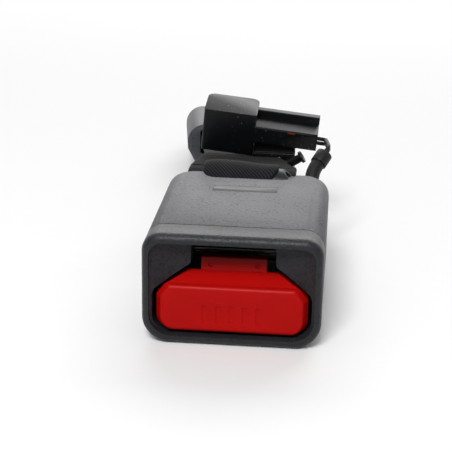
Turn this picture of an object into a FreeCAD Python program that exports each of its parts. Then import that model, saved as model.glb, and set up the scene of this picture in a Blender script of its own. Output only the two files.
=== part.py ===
import FreeCAD, Part

# Seat belt buckle with its webbing, floor anchor and switch harness, in millimetres.
# +Z is up, +Y runs from the release button back to the anchor, +X is to the right of the button.
# The origin is the middle of the housing's flat underside, which lies on the floor.

import math
import os

Vector = FreeCAD.Vector

os.makedirs("parts", exist_ok=True)

# Cutting blocks reach this far past the part, sideways and upwards
far = 40.0
high = 60.0

# Clearances, and how far a piece is sunk into the one it is part of
root = 0.5
window_clearance = 0.7
running_gap = 0.3
close_gap = 0.15
pin_clearance = 0.05
seam_gap = 0.1

# Housing shells
housing_width = 56.0
housing_rear_width = 57.4
housing_height = 36.0
housing_length = 76.0
housing_top_corner = 6.0
housing_bottom_corner = 8.5
housing_rear_corner = 9.5
shell_wall = 2.2
shell_split_drop = 16.0
lip_height = 1.4
notch_width = 29.0
notch_mouth = 37.4
notch_depth = 12.0
notch_corner = 5.0
rear_window_sill_drop = 11.0
rib_inset = 2.0
label_width = 22.0
label_length = 6.6
label_reach = 28.0
label_depth = 0.25

# Front bezel with the guide cheeks beside the tongue slot
bezel_depth = 11.0
bezel_spigot = 3.0
bezel_edge_radius = 2.4
seam_groove = 0.6
bezel_side_wall = 2.3
bezel_top_wall = 2.9
bezel_bottom_wall = 2.7
mouth_top_corner = 4.2
mouth_bottom_corner = 7.0
shroud_step = 0.8
shroud_lip = 0.2
cheek_bow = 0.6
cheek_bow_share = 0.66
cheek_setback = 1.0
cheek_depth = 6.5
cheek_rise_drop = 13.6
cheek_side = 24.2
cheek_slot_drop = 6.2

# Tongue slot
tongue_slot_width = 26.6
tongue_slot_height = 3.4
tongue_slot_cover = 5.0
guide_wall = 2.0
guide_floor = 1.0
guide_length = 11.0

# Release button
button_travel = 5.0
button_half_width = 23.7
button_bottom = 3.9
button_edge_drop = 12.0
button_edge_half = 20.9
button_shoulder_drop = 15.8
button_setback = 1.6
ramp_depth = 7.4
ramp_top_drop = 9.2
ramp_half_width = 14.1
ramp_shoulder_drop = 14.7
button_depth = 13.6
button_wall = 2.0
button_roof = 2.6
button_corner = 4.5
button_shoulder_corner = 2.0
button_face = 2.4
button_taper = 1.6
button_edge_radius = 1.2
tab_half_width = 10.3
tab_top_drop = 4.8
tab_thickness = 3.2
tab_wall = 0.8
tab_edge_radius = 0.5
tab_setback = 9.6
pit_radius = 0.8
pit_offset = 7.4
pit_drop = 2.7
slot_drop = 5.4
bar_count = 5
bar_pitch = 4.2
bar_width = 1.5
bar_height = 5.4
bar_depth = 0.35
bar_rise = 6.05
arm_inner = 20.2
arm_thickness = 2.2
arm_bottom = 8.0
arm_top_drop = 15.5
arm_end = 40.0
ear_start = 26.8
ear_end = 35.0
ear_top_drop = 8.2

# Steel frame
frame_steel = 2.5
frame_half_width = 18.5
frame_front = 14.2
frame_plate_reach = 12.0
flange_start = 22.0
flange_reach = 16.0
flange_bottom_drop = 15.5
flange_corner = 3.0
joggle_drop = 1.6
joggle_length = 3.0
joggle_shift = 0.6
frame_corner = 4.0
neck_corner = 1.5
shoulder_reach = 3.0
shoulder_slope = 2.0
neck_slot_start = 1.6
neck_offset = -1.4
neck_slot_width = 33.6
neck_leg = 2.8
loop_reach = 4.0
loop_bar_width = 6.0
window_half_width = 7.0
window_start = 22.8
window_end = 30.5

# Latch, lock bar and ejector
latch_pin_reach = 24.0
latch_pin_height_drop = 7.2
latch_pin_radius = 1.6
latch_half_width = 7.5
latch_ear = 1.9
latch_ear_radius = 3.2
latch_bottom_drop = 8.8
latch_steel = 2.0
latch_plate_reach = 5.0
latch_arm = 9.0
hook_half_width = 5.5
hook_start = 24.6
hook_length = 3.0
hook_top_drop = 3.8
pin_head_radius = 2.6
pin_head = 1.2
lock_setback = 29.0
lock_size = 2.4
lock_bottom_drop = 12.4
lock_ledge_half = 6.0
lock_ledge = 2.8
ejector_travel = 9.0
ejector_front = 27.2
ejector_bottom_drop = 3.2
ejector_thickness = 3.1
ejector_half_width = 15.4
ejector_bar = 8.8
ejector_stem_half = 5.0
ejector_stem = 7.0
ejector_wing = 2.5
ejector_wing_length = 6.0
wing_setback = 2.0
wing_rise = 0.6
wing_height = 1.9
peg_length = 2.0
peg_clearance = 0.2
magnet_wall = 1.0
magnet_radius = 1.5
magnet_height = 2.0
stop_tab_reach = 17.8
stop_tab_bottom_drop = 5.4
stop_tab_half = 6.0

# Springs
button_spring_radius = 2.2
button_spring_wire = 0.8
button_spring_pitch = 3.75
button_spring_height_drop = 19.5
ejector_spring_radius = 1.15
ejector_spring_wire = 0.5
ejector_spring_pitch = 2.9
latch_spring_radius = 2.3
latch_spring_wire = 0.9
latch_spring_turns = 3
latch_spring_half = 2.2
latch_spring_leg = 10.0
spring_post_reach = 20.0
spring_post = 3.5
post_foot = 3.0
coil_facets = 8

# Switch that senses the tongue
switch_side = 20.2
switch_width = 5.0
switch_reach = 28.0
switch_length = 15.5
switch_bottom_drop = 14.0
switch_height = 12.0
switch_rivet_radius = 1.2
rivet_edge = 3.0
rivet_inset = 1.6
rivet_grip = 2.9
rivet_head_radius = 2.0
rivet_head = 0.85
switch_boss_radius = 2.2
switch_rivet_height_drop = 11.4

# Webbing, folded round a plastic sleeve on the frame's cross bar
webbing_thickness = 2.8
sleeve_radius = 4.6
sleeve_wall = 1.1
sleeve_left = -17.5
sleeve_right = 14.9
sleeve_slit = 2.0
sleeve_slant = 42.0
sleeve_slant_rise = 0.9
fold_left = -17.3
fold_right = 7.8
fold_left_radius = 7.0
fold_right_radius = 6.2
fold_tail = 12.0
strap_lip = 5.0
strap_front_left = -24.3
strap_front_right = 16.3
strap_mid_left = -22.4
strap_mid_right = 11.0
strap_mid_reach = 36.0
strap_half_width = 14.0
strap_rises = ((8.9, -1.05), (13.0, 0.1), (24.0, -0.25), (37.0, -1.45), (54.0, -4.65))
strap_yaw = 8.0
strap_rear_centre = -8.2

# Anchor at the strap's rear end, in the strap's own direction from the flex line
anchor_reach = 70.0
anchor_height = 15.0
anchor_steel = 3.2
anchor_bar = 6.4
anchor_slot_half = 14.4
anchor_slot = 6.8
anchor_leg = 2.6
anchor_shoulder = 4.0
anchor_shoulder_corner = 5.0
anchor_bar_corner = 2.0
anchor_slot_corner = 1.5
anchor_eye_reach = 44.0
anchor_eye_radius = 15.0
anchor_bolt_radius = 6.3
loop_inner = 4.3
loop_wall = 2.6
cover_front = 58.0
cover_length = 40.0
cover_room = 1.2
cover_flare = 7.2
cover_height = 24.6
cover_waist = 13.5
cover_wall = 1.8
cover_top_corner = 8.0
cover_edge = 1.6
cover_rib_offset = 8.0
cover_rib = 1.6
mouth_bottom = 11.0
mouth_top = 22.4
mouth_room = 0.4
mouth_corner = 1.5
cover_bottom_corner = 4.0

# Connector, leaning forward and down to the right on its strap clamp
connector_corner = (-22.4, 37.7, 2.05)
connector_pitch = 12.0
connector_roll = 5.8
hood_length = 20.4
hood_depth = 15.2
hood_height = 17.4
hood_corner = 3.0
hood_wall = 1.5
hood_socket = 15.5
socket_corner = 1.0
mould_radius = 0.8
lock_inset = 0.3
lock_proud = 0.25
wire_bore = 4.0
plug_length = 24.4
plug_depth = 13.4
plug_bottom = 5.6
plug_rail = 12.6
plug_rail_depth = 10.0
plug_ridge = 15.3
terminal_width = 0.9
terminal_length = 8.0
terminal_pitch = 4.0
wire_height = 8.6
wire_depth = 3.6
wire_door = 3.6
wire_seat = 2.5
lock_tab_length = 3.0
lock_tab_start = 33.0
lock_tab_thickness = 2.2
lock_tab_height = 0.8

# Strap clamp and push clip
clamp_left = -3.0
clamp_right = 14.6
clamp_front = 21.5
clamp_rear = 46.0
clamp_step = 40.0
clamp_lap = 37.0
clamp_drop = 6.25
clamp_cover = 1.6
clamp_foot = 4.0
pedestal_inset = 0.6
hood_clearance = 0.2
clip_base = (13.0, 24.5, 0.95)
clip_tilt = 32.0
clip_stem_radius = 1.6
clip_stem = 5.0
clip_disc_radius = 2.3
clip_disc = 1.0

# Switch harness: the points are a hand-chosen route
harness_radius = 2.6
harness_tape_wall = 0.45
harness_tape_length = 5.0
wire_radius = 0.85
wire_spacing = 0.95
wire_sides = 6
harness_route = ((22.4, -12.5, -4.55), (22.4, 4.6, -4.55), (21.9, 9.6, 1.95), (26.4, 16.0, 7.75))
wire_lead = 3.0
wire_route = ((27.2, 24.5, 9.4), (26.5, 32.5, 8.0))
grommet_flange = 1.2
grommet_flange_radius = 4.2
grommet_radius = 3.3
grommet_neck = 6.0

# Places that follow from the sizes above
front = -housing_length / 2
rear = housing_length / 2
seam = front + bezel_depth
tongue_slot_top = housing_height - tongue_slot_cover
shell_split = tongue_slot_top - shell_split_drop
rear_window_sill = tongue_slot_top - rear_window_sill_drop
cheek_rise = tongue_slot_top - cheek_rise_drop
button_edge = tongue_slot_top - button_edge_drop
button_shoulder = tongue_slot_top - button_shoulder_drop
ramp_top = tongue_slot_top - ramp_top_drop
ramp_shoulder = tongue_slot_top - ramp_shoulder_drop
tab_top = tongue_slot_top - tab_top_drop
arm_top = tongue_slot_top - arm_top_drop
ear_top = tongue_slot_top - ear_top_drop
flange_bottom = tongue_slot_top - flange_bottom_drop
latch_pin_height = tongue_slot_top - latch_pin_height_drop
latch_bottom = tongue_slot_top - latch_bottom_drop
hook_top = tongue_slot_top - hook_top_drop
lock_bottom = tongue_slot_top - lock_bottom_drop
ejector_bottom = tongue_slot_top - ejector_bottom_drop
wing_bottom = ejector_bottom + wing_rise
wing_top = wing_bottom + wing_height
stop_tab_bottom = tongue_slot_top - stop_tab_bottom_drop
button_spring_height = tongue_slot_top - button_spring_height_drop
switch_bottom = tongue_slot_top - switch_bottom_drop
switch_rivet_height = tongue_slot_top - switch_rivet_height_drop
half_width = housing_width / 2
rear_half_width = housing_rear_width / 2
cavity_half = half_width - shell_wall
slot_half = tongue_slot_width / 2
slot_bottom = tongue_slot_top - tongue_slot_height
frame_top = housing_height - shell_wall - seam_gap
frame_underside = frame_top - frame_steel
neck_top = frame_top - joggle_drop
plate_end_y = rear - frame_plate_reach
flange_end_y = rear - flange_reach
latch_pin_y = rear - latch_pin_reach
stop_tab_y = rear - stop_tab_reach
spring_post_y = rear - spring_post_reach
switch_y = rear - switch_reach
loop_y = rear + loop_reach
loop_z = neck_top - frame_steel / 2
neck_slot_left = neck_offset - neck_slot_width / 2
neck_slot_right = neck_offset + neck_slot_width / 2
strap_line = [(rear + reach, loop_z + rise) for reach, rise in strap_rises]
flex_y, flex_z = strap_line[-1]
anchor_half_width = anchor_slot_half + anchor_leg
cover_half_width = anchor_half_width + cover_room + cover_wall
cover_base_half = cover_half_width - cover_flare
clamp_bottom = loop_z - clamp_drop
harness_points = [(x, rear + reach, loop_z + rise) for x, reach, rise in harness_route]
wire_points = [(x, rear + reach, loop_z + rise) for x, reach, rise in wire_route]
strap_place = FreeCAD.Placement(Vector(strap_rear_centre, flex_y, 0),
                                FreeCAD.Rotation(Vector(0, 0, 1), strap_yaw))
connector_place = FreeCAD.Placement(
    Vector(connector_corner[0], rear + connector_corner[1], loop_z + connector_corner[2]),
    FreeCAD.Rotation(Vector(0, 1, 0), connector_roll).multiply(
        FreeCAD.Rotation(Vector(1, 0, 0), connector_pitch)))


def box(x0, x1, y0, y1, z0, z1):
    """Block between two corners."""
    return Part.makeBox(x1 - x0, y1 - y0, z1 - z0, Vector(x0, y0, z0))


def rod(radius, start, end):
    """Round bar between two points."""
    start = Vector(*start)
    along = Vector(*end) - start
    return Part.makeCylinder(radius, along.Length, start, along)


def rounded_wire(corners, place):
    """Closed outline through (a, b, radius) corners, each corner turned into a tangent arc."""
    points = [Vector(a, b, 0) for a, b, radius in corners]
    spans = []
    for index, corner in enumerate(points):
        radius = corners[index][2]
        back = (points[index - 1] - corner).normalize()
        ahead = (points[(index + 1) % len(points)] - corner).normalize()
        if radius == 0:
            spans.append((corner, None, corner))
            continue
        half_angle = back.getAngle(ahead) / 2
        reach = radius / math.tan(half_angle)
        inward = (back + ahead).normalize()
        middle = corner + inward * (radius / math.sin(half_angle) - radius)
        spans.append((corner + back * reach, middle, corner + ahead * reach))
    edges = []
    for index, (start, middle, end) in enumerate(spans):
        if middle is not None:
            edges.append(Part.Arc(place(start), place(middle), place(end)).toShape())
        following = spans[(index + 1) % len(spans)][0]
        if (following - end).Length > 1e-6:
            edges.append(Part.LineSegment(place(end), place(following)).toShape())
    return Part.Wire(edges)


def at_depth(y):
    """Places an (x, z) outline in the upright plane at y."""
    return lambda point: Vector(point.x, y, point.y)


def at_height(z):
    """Places an (x, y) outline in the level plane at z."""
    return lambda point: Vector(point.x, point.y, z)


def at_side(x):
    """Places a (y, z) outline in the side plane at x."""
    return lambda point: Vector(x, point.x, point.y)


def prism(corners, place, reach):
    """Solid made by pushing a rounded outline along a vector."""
    return Part.Face(rounded_wire(corners, place)).extrude(Vector(*reach))


def both_sides(shape):
    """The shape and its mirror image across the middle plane x = 0."""
    return [shape, shape.mirror(Vector(0, 0, 0), Vector(1, 0, 0))]


def section(inset, top_corner, bottom_corner, side=None, top=None, bottom=None):
    """Housing section seen from the front, moved inwards by an inset."""
    x = half_width - (inset if side is None else side)
    z1 = housing_height - (inset if top is None else top)
    z0 = inset if bottom is None else bottom
    return [(-x, z0, bottom_corner), (x, z0, bottom_corner), (x, z1, top_corner), (-x, z1, top_corner)]


def housing_block(inset):
    """Housing body behind the seam, moved inwards by an inset, with rolled edges all round."""
    x0 = half_width - inset
    x1 = rear_half_width - inset
    start = seam if inset == 0 else seam - 1.0
    corner = housing_rear_corner - inset
    plan = [(-x0, start, 0), (x0, start, 0), (x1, rear - inset, corner), (-x1, rear - inset, corner)]
    height = housing_height - 2 * inset
    block = prism(plan, at_height(inset), (0, 0, height))
    top_edges = [edge for edge in block.Edges
                 if edge.BoundBox.ZMin > inset + height - 0.01 and edge.BoundBox.YMax > start + 0.01]
    block = block.makeFillet(housing_top_corner - inset, top_edges)
    bottom_edges = [edge for edge in block.Edges
                    if edge.BoundBox.ZMax < inset + 0.01 and edge.BoundBox.YMax > start + 0.01]
    return block.makeFillet(housing_bottom_corner - inset, bottom_edges)


def coil(radius, wire, length, turns):
    """Spring along +Z from the origin: a square wire wound in short straight facets."""
    rise = (length - wire) / (turns * coil_facets)
    inner = radius - wire / 2
    outer = radius + wire / 2
    up = Vector(0, 0, wire / 2)
    wires = []
    for step in range(turns * coil_facets + 1):
        angle = 2 * math.pi * step / coil_facets
        across = Vector(math.cos(angle), math.sin(angle), 0)
        middle = Vector(0, 0, wire / 2 + step * rise)
        corners = [across * inner + middle - up, across * outer + middle - up,
                   across * outer + middle + up, across * inner + middle + up]
        wires.append(Part.makePolygon(corners + corners[:1]))
    return Part.makeLoft(wires, True, True)


def turns_in(length, wire, pitch):
    """Whole turns of a spring that fit a length at about the given pitch."""
    return max(1, round((length - wire) / pitch))


def along_y(shape, x, y, z):
    """Turns a shape built along +Z so that it runs along +Y from a point."""
    shape.rotate(Vector(0, 0, 0), Vector(1, 0, 0), -90)
    shape.translate(Vector(x, y, z))
    return shape


def bent_tube(points, radius, name, sides=0):
    """Tube along straight runs joined by tangent arcs, round or with a number of flat sides."""
    points = [Vector(*point) for point in points]
    edges = []
    start = points[0]
    length = 0.0
    radii = []
    for before, corner, after in zip(points, points[1:], points[2:]):
        back = before - corner
        ahead = after - corner
        shorter = min(back.Length, ahead.Length)
        half_turn = (math.pi - back.getAngle(ahead)) / 2
        reach = 0.45 * shorter
        bend = reach / math.tan(half_turn)
        back.normalize()
        ahead.normalize()
        inward = (back + ahead).normalize()
        first = corner + back * reach
        last = corner + ahead * reach
        middle = corner + inward * (math.hypot(bend, reach) - bend)
        edges.append(Part.LineSegment(start, first).toShape())
        edges.append(Part.Arc(first, middle, last).toShape())
        length += (first - start).Length + 2 * half_turn * bend
        start = last
        radii.append(round(bend, 1))
    edges.append(Part.LineSegment(start, points[-1]).toShape())
    length += (points[-1] - start).Length
    path = Part.Wire(edges)
    heading = (points[1] - points[0]).normalize()
    profile = Part.Wire(Part.makeCircle(radius, points[0], heading))
    if sides:
        corners = profile.discretize(sides + 1)
        profile = Part.makePolygon([corners[index % sides] for index in range(sides + 1)])
    tube = path.makePipeShell([profile], True, True)
    swept = Part.Face(profile).Area * length
    print(name, "length", round(length, 1), "bend radii", radii)
    print("volume over swept volume", round(tube.Volume / swept, 4))
    return tube


def save(name, *solids):
    """Writes one node; several solids stay separate in one file."""
    shape = solids[0] if len(solids) == 1 else Part.makeCompound(list(solids))
    for solid in shape.Solids:
        if not solid.isValid():
            print("invalid solid in", name)
    shape.exportStep("parts/" + name + ".step")


def strap_slab(line, thickness):
    """Closed (y, z) outline of a webbing stretch along a centre line."""
    upper = [(y, z + thickness / 2, 0) for y, z in line]
    lower = [(y, z - thickness / 2, 0) for y, z in reversed(line)]
    return upper + lower


def make_housing():
    """Upper and lower shells, with the notch and window at the rear where the webbing leaves."""
    body = housing_block(0).cut(housing_block(shell_wall))

    # The notch is open to the rear and its inner corners are round.
    notch_half = notch_width / 2
    mouth_half = notch_mouth / 2
    notch_front = rear - notch_depth
    notch_plan = [(-notch_half, notch_front, notch_corner), (notch_half, notch_front, notch_corner),
                  (mouth_half, rear + 1, 0), (-mouth_half, rear + 1, 0)]
    cavity_top = housing_height - shell_wall
    notch = prism(notch_plan, at_height(cavity_top - 4), (0, 0, shell_wall + 5))
    window = box(neck_slot_left - neck_leg - window_clearance, neck_slot_right + neck_leg + window_clearance,
                 rear - shell_wall - 1, rear + 1, rear_window_sill, cavity_top)
    outlet_x, outlet_z = harness_points[1][0], harness_points[1][2]
    outlet = rod(grommet_radius + close_gap, (outlet_x, rear - housing_rear_corner, outlet_z),
                 (outlet_x, rear + 1, outlet_z))
    label_y = rear - label_reach
    label = box(-label_width / 2, label_width / 2, label_y, label_y + label_length,
                housing_height - label_depth, housing_height + 1)
    body = body.cut(notch.fuse(window)).cut(outlet).cut(label)

    low = box(-far, far, front - 1, rear + 1, -1, shell_split)
    high = box(-far, far, front - 1, rear + 1, shell_split, housing_height + 1)
    lower = body.common(low)
    upper = body.common(high)

    # A lip on the lower shell stands inside the upper one.
    ring = housing_block(shell_wall / 2).cut(housing_block(shell_wall))
    lip = ring.common(box(-far, far, seam + bezel_spigot + 1, rear + 1, shell_split - root,
                          shell_split + lip_height))
    groove_ring = housing_block(shell_wall / 2 - seam_gap).cut(housing_block(shell_wall))
    groove = groove_ring.common(box(-far, far, seam, rear + 1, shell_split - root,
                                    shell_split + lip_height + seam_gap))
    upper = upper.cut(groove)
    lower = lower.fuse(lip)

    # Ribs carry the frame's flanges and posts hold the button springs.
    rib_x0 = frame_half_width - frame_steel
    rib = box(rib_x0, frame_half_width, front + flange_start + rib_inset, flange_end_y - rib_inset,
              shell_wall - root, flange_bottom)
    post = box(frame_half_width, cavity_half + root, spring_post_y, spring_post_y + spring_post,
               shell_wall + post_foot, shell_split - root)
    for piece in both_sides(rib) + both_sides(post):
        lower = lower.fuse(piece)
    save("housing_upper", upper.removeSplitter())
    save("housing_lower", lower.removeSplitter())


def shroud_outline():
    """Opening behind the bezel's rim: the tongue slot above, sloping cheeks and the button below."""
    side = half_width - bezel_side_wall - shroud_step
    floor = bezel_bottom_wall + shroud_lip
    slot_low = tongue_slot_top - cheek_slot_drop
    right = [(side, floor, 6.0), (side, cheek_rise - 1.5, 2.0), (cheek_side, cheek_rise, 0.5),
             (slot_half, slot_low, 1.2), (slot_half, tongue_slot_top, 0.8)]
    left = [(-x, z, radius) for x, z, radius in reversed(right)]
    return right + left


def make_bezel():
    """Front ring with a rounded lip, and the shroud that guides the tongue into its slot."""
    outer = prism(section(0, housing_top_corner, housing_bottom_corner), at_depth(front),
                  (0, bezel_depth, 0))
    lip_edges = [edge for edge in outer.Edges if edge.BoundBox.YMax < front + 0.01]
    outer = outer.makeFillet(bezel_edge_radius, lip_edges)
    around = section(-1, housing_top_corner + 1, housing_bottom_corner + 1)
    groove = prism(around, at_depth(seam - seam_groove), (0, seam_groove + 1, 0))
    core = section(seam_groove, housing_top_corner - seam_groove, housing_bottom_corner - seam_groove)
    outer = outer.cut(groove.cut(prism(core, at_depth(seam - seam_groove - 1), (0, seam_groove + 2, 0))))
    mouth = section(0, mouth_top_corner, mouth_bottom_corner,
                    bezel_side_wall, bezel_top_wall, bezel_bottom_wall)
    ring = outer.cut(prism(mouth, at_depth(front - 1), (0, bezel_depth + 2, 0)))
    shroud = prism(mouth, at_depth(front + cheek_setback), (0, bezel_depth - cheek_setback, 0))
    spigot_inset = shell_wall + close_gap
    spigot_outline = section(spigot_inset, housing_top_corner - spigot_inset,
                             housing_bottom_corner - spigot_inset)
    spigot = prism(spigot_outline, at_depth(seam - 1), (0, bezel_spigot + 1, 0))
    bezel = ring.fuse(shroud).fuse(spigot)
    bezel = bezel.cut(prism(shroud_outline(), at_depth(front - 1), (0, bezel_depth + 10, 0)))

    # The cheeks lean back from the rim to the slot along a shallow curve.
    rim = half_width - bezel_side_wall + 0.05
    y_rim = front + cheek_setback
    y_slot = front + cheek_depth
    bow = Vector((rim + slot_half) / 2 + cheek_bow, y_rim + cheek_bow_share * (y_slot - y_rim), 0)
    z0 = bezel_bottom_wall - 0.1
    edges = []
    right_rim = Vector(rim, y_rim, z0)
    right_slot = Vector(slot_half, y_slot, z0)
    left_slot = Vector(-slot_half, y_slot, z0)
    left_rim = Vector(-rim, y_rim, z0)
    edges.append(Part.Arc(right_rim, Vector(bow.x, bow.y, z0), right_slot).toShape())
    edges.append(Part.LineSegment(right_slot, left_slot).toShape())
    edges.append(Part.Arc(left_slot, Vector(-bow.x, bow.y, z0), left_rim).toShape())
    edges.append(Part.LineSegment(left_rim, Vector(-rim, front - 1, z0)).toShape())
    edges.append(Part.LineSegment(Vector(-rim, front - 1, z0), Vector(rim, front - 1, z0)).toShape())
    edges.append(Part.LineSegment(Vector(rim, front - 1, z0), right_rim).toShape())
    funnel = Part.Face(Part.Wire(edges)).extrude(
        Vector(0, 0, housing_height - bezel_top_wall + 0.1 - z0))
    funnel = funnel.common(prism(mouth, at_depth(front - 2), (0, bezel_depth + 2, 0)))
    save("front_bezel", bezel.cut(funnel).removeSplitter())


def button_outline(shoulder, edge_height, edge_half, inset=0.0):
    """Button seen from the front: round lower corners, sloping shoulders and a level top."""
    side = button_half_width - inset
    right = [(side, button_bottom, button_corner), (side, shoulder, button_shoulder_corner),
             (edge_half - inset, edge_height, button_shoulder_corner)]
    left = [(-x, z, radius) for x, z, radius in reversed(right)]
    return right + left


def make_button():
    """Red release button: a hollow cap with a rising ramp, a rear tab and two arms."""
    y0 = front + button_setback
    y1 = y0 + ramp_depth
    y2 = y0 + button_depth
    front_wire = rounded_wire(button_outline(button_shoulder, button_edge, button_edge_half, button_taper),
                              at_depth(y0))
    face_wire = rounded_wire(button_outline(button_shoulder, button_edge, button_edge_half),
                             at_depth(y0 + button_face))
    face = Part.makeLoft([front_wire, face_wire], True, True)
    front_edges = [edge for edge in face.Edges if edge.BoundBox.YMax < y0 + 0.01]
    face = face.makeFillet(button_edge_radius, front_edges)
    ramp_wire = rounded_wire(button_outline(ramp_shoulder, ramp_top, ramp_half_width), at_depth(y1))
    cap = face.fuse(Part.makeLoft([face_wire, ramp_wire], True, True))
    skirt = Part.Face(ramp_wire).extrude(Vector(0, y2 - y1, 0))
    cap = cap.fuse(skirt)
    inner = button_half_width - button_wall
    pocket_top = button_edge - button_roof
    pocket_corner = button_corner - button_wall
    pocket = [(inner, button_bottom + button_wall, pocket_corner), (inner, pocket_top, pocket_corner),
              (-inner, pocket_top, pocket_corner), (-inner, button_bottom + button_wall, pocket_corner)]
    cap = cap.cut(prism(pocket, at_depth(y0 + button_wall), (0, button_depth, 0)))

    # The tab rises behind the ramp, between two slots, and fills the space under the tongue slot.
    for side in (-1, 1):
        inner_x = side * tab_half_width
        outer_x = side * (ramp_half_width + 1)
        cap = cap.cut(box(min(inner_x, outer_x), max(inner_x, outer_x), y1 + tab_wall, y2 + 1,
                          ramp_top - slot_drop, ramp_top + 1))
    tab_y = front + tab_setback
    tab = box(-tab_half_width, tab_half_width, tab_y, tab_y + tab_thickness, ramp_top - button_wall, tab_top)
    tab = tab.makeFillet(tab_edge_radius, [edge for edge in tab.Edges if edge.BoundBox.ZMin > tab_top - 0.01])
    cap = cap.fuse(tab)
    pit_z = tab_top - pit_drop
    for x in (-pit_offset, pit_offset):
        cap = cap.cut(rod(pit_radius, (x, tab_y - 1, pit_z), (x, tab_y + pit_radius, pit_z)))

    # Sunk touch bars stand where a word would be.
    word_z = button_bottom + bar_rise
    for index in range(bar_count):
        x = (index - (bar_count - 1) / 2) * bar_pitch
        cap = cap.cut(box(x - bar_width / 2, x + bar_width / 2, y0 - 1, y0 + bar_depth,
                          word_z - bar_height / 2, word_z + bar_height / 2))

    arm_outer = arm_inner + arm_thickness
    arm = box(arm_inner, arm_outer, y2 - button_wall, front + arm_end, arm_bottom, arm_top)
    ear = box(arm_inner, arm_outer, front + ear_start, front + ear_end, arm_bottom, ear_top)
    lock_hole = box(arm_inner - 1, arm_outer + 1,
                    front + lock_setback - close_gap, front + lock_setback + lock_size + close_gap,
                    lock_bottom - close_gap, lock_bottom + lock_size + close_gap)
    for piece in both_sides(arm.fuse(ear).cut(lock_hole)):
        cap = cap.fuse(piece)
    save("release_button", cap.removeSplitter())


def make_frame():
    """Folded steel frame: slide plate, two flanges, stop tab and a cranked neck with a cross bar."""
    y_end = plate_end_y
    y_low = y_end + joggle_length
    y_rear = loop_y + loop_bar_width / 2
    z_low = neck_top - frame_steel
    side = [(front + frame_front, frame_underside, 0), (y_end, frame_underside, 0),
            (y_low, z_low, 0), (y_rear, z_low, 0), (y_rear, neck_top, 0),
            (y_low + joggle_shift, neck_top, 0), (y_end + joggle_shift, frame_top, 0),
            (front + frame_front, frame_top, 0)]
    plate = prism(side, at_side(-far), (2 * far, 0, 0))
    neck_left = neck_slot_left - neck_leg
    neck_right = neck_slot_right + neck_leg
    shoulder = y_end - shoulder_reach
    shoulder_end = shoulder + shoulder_slope
    plan = [(-frame_half_width, front + frame_front, frame_corner),
            (frame_half_width, front + frame_front, frame_corner),
            (frame_half_width, shoulder, 0), (neck_right, shoulder_end, 0), (neck_right, y_rear, neck_corner),
            (neck_left, y_rear, neck_corner), (neck_left, shoulder_end, 0), (-frame_half_width, shoulder, 0)]
    plate = plate.common(prism(plan, at_height(0), (0, 0, housing_height)))
    slot_y = y_low + neck_slot_start
    bar_y = loop_y - loop_bar_width / 2
    slot = [(neck_slot_left, slot_y, neck_corner), (neck_slot_right, slot_y, neck_corner),
            (neck_slot_right, bar_y, neck_corner), (neck_slot_left, bar_y, neck_corner)]
    plate = plate.cut(prism(slot, at_height(0), (0, 0, housing_height)))
    plate = plate.cut(box(-window_half_width, window_half_width, front + window_start,
                          front + window_end, frame_underside - 1, frame_top + 1))

    flange_x = frame_half_width - frame_steel
    flange_y = front + flange_start
    flange_side = [(flange_y, flange_bottom, flange_corner), (flange_end_y, flange_bottom, flange_corner),
                   (flange_end_y, frame_underside + root, 0), (flange_y, frame_underside + root, 0)]
    flange = prism(flange_side, at_side(flange_x), (frame_steel, 0, 0))
    lock_slot = box(flange_x - 1, frame_half_width + 1, front + lock_setback - running_gap,
                    front + lock_setback + lock_size + button_travel + running_gap,
                    lock_bottom - running_gap / 2, lock_bottom + lock_size + running_gap / 2)
    wing_front = front + ejector_front + wing_setback
    wing_slot = box(flange_x - 1, frame_half_width + 1, wing_front - running_gap,
                    wing_front + ejector_wing_length + ejector_travel + running_gap,
                    wing_bottom - close_gap, wing_top + close_gap)
    pin_hole = rod(latch_pin_radius + pin_clearance, (flange_x - 1, latch_pin_y, latch_pin_height),
                   (frame_half_width + 1, latch_pin_y, latch_pin_height))
    flange = flange.cut(lock_slot).cut(wing_slot).cut(pin_hole)
    stop = box(-stop_tab_half, stop_tab_half, stop_tab_y, stop_tab_y + frame_steel,
               stop_tab_bottom, frame_underside + root)
    frame = plate.fuse(stop)
    for piece in both_sides(flange):
        frame = frame.fuse(piece)
    for x, y in switch_rivet_places():
        frame = frame.cut(rod(switch_rivet_radius + pin_clearance, (flange_x - 1, y, switch_rivet_height),
                              (frame_half_width + 1, y, switch_rivet_height)))
    save("base_frame", frame.removeSplitter())


def switch_rivet_places():
    """Side and place along the housing of the two rivets that hold the switch."""
    return [(frame_half_width, flange_end_y - rivet_edge), (frame_half_width, switch_y + rivet_inset)]


def make_guide():
    """Plastic trough under the slide plate that leads the tongue to the latch."""
    y0 = seam + bezel_spigot + running_gap
    y1 = y0 + guide_length - bezel_spigot
    x = slot_half + guide_wall
    trough = box(-x, x, y0, y1, slot_bottom - guide_floor, frame_underside - seam_gap)
    trough = trough.cut(box(-slot_half, slot_half, y0 - 1, y1 + 1, slot_bottom, housing_height))
    save("tongue_guide", trough)


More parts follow.
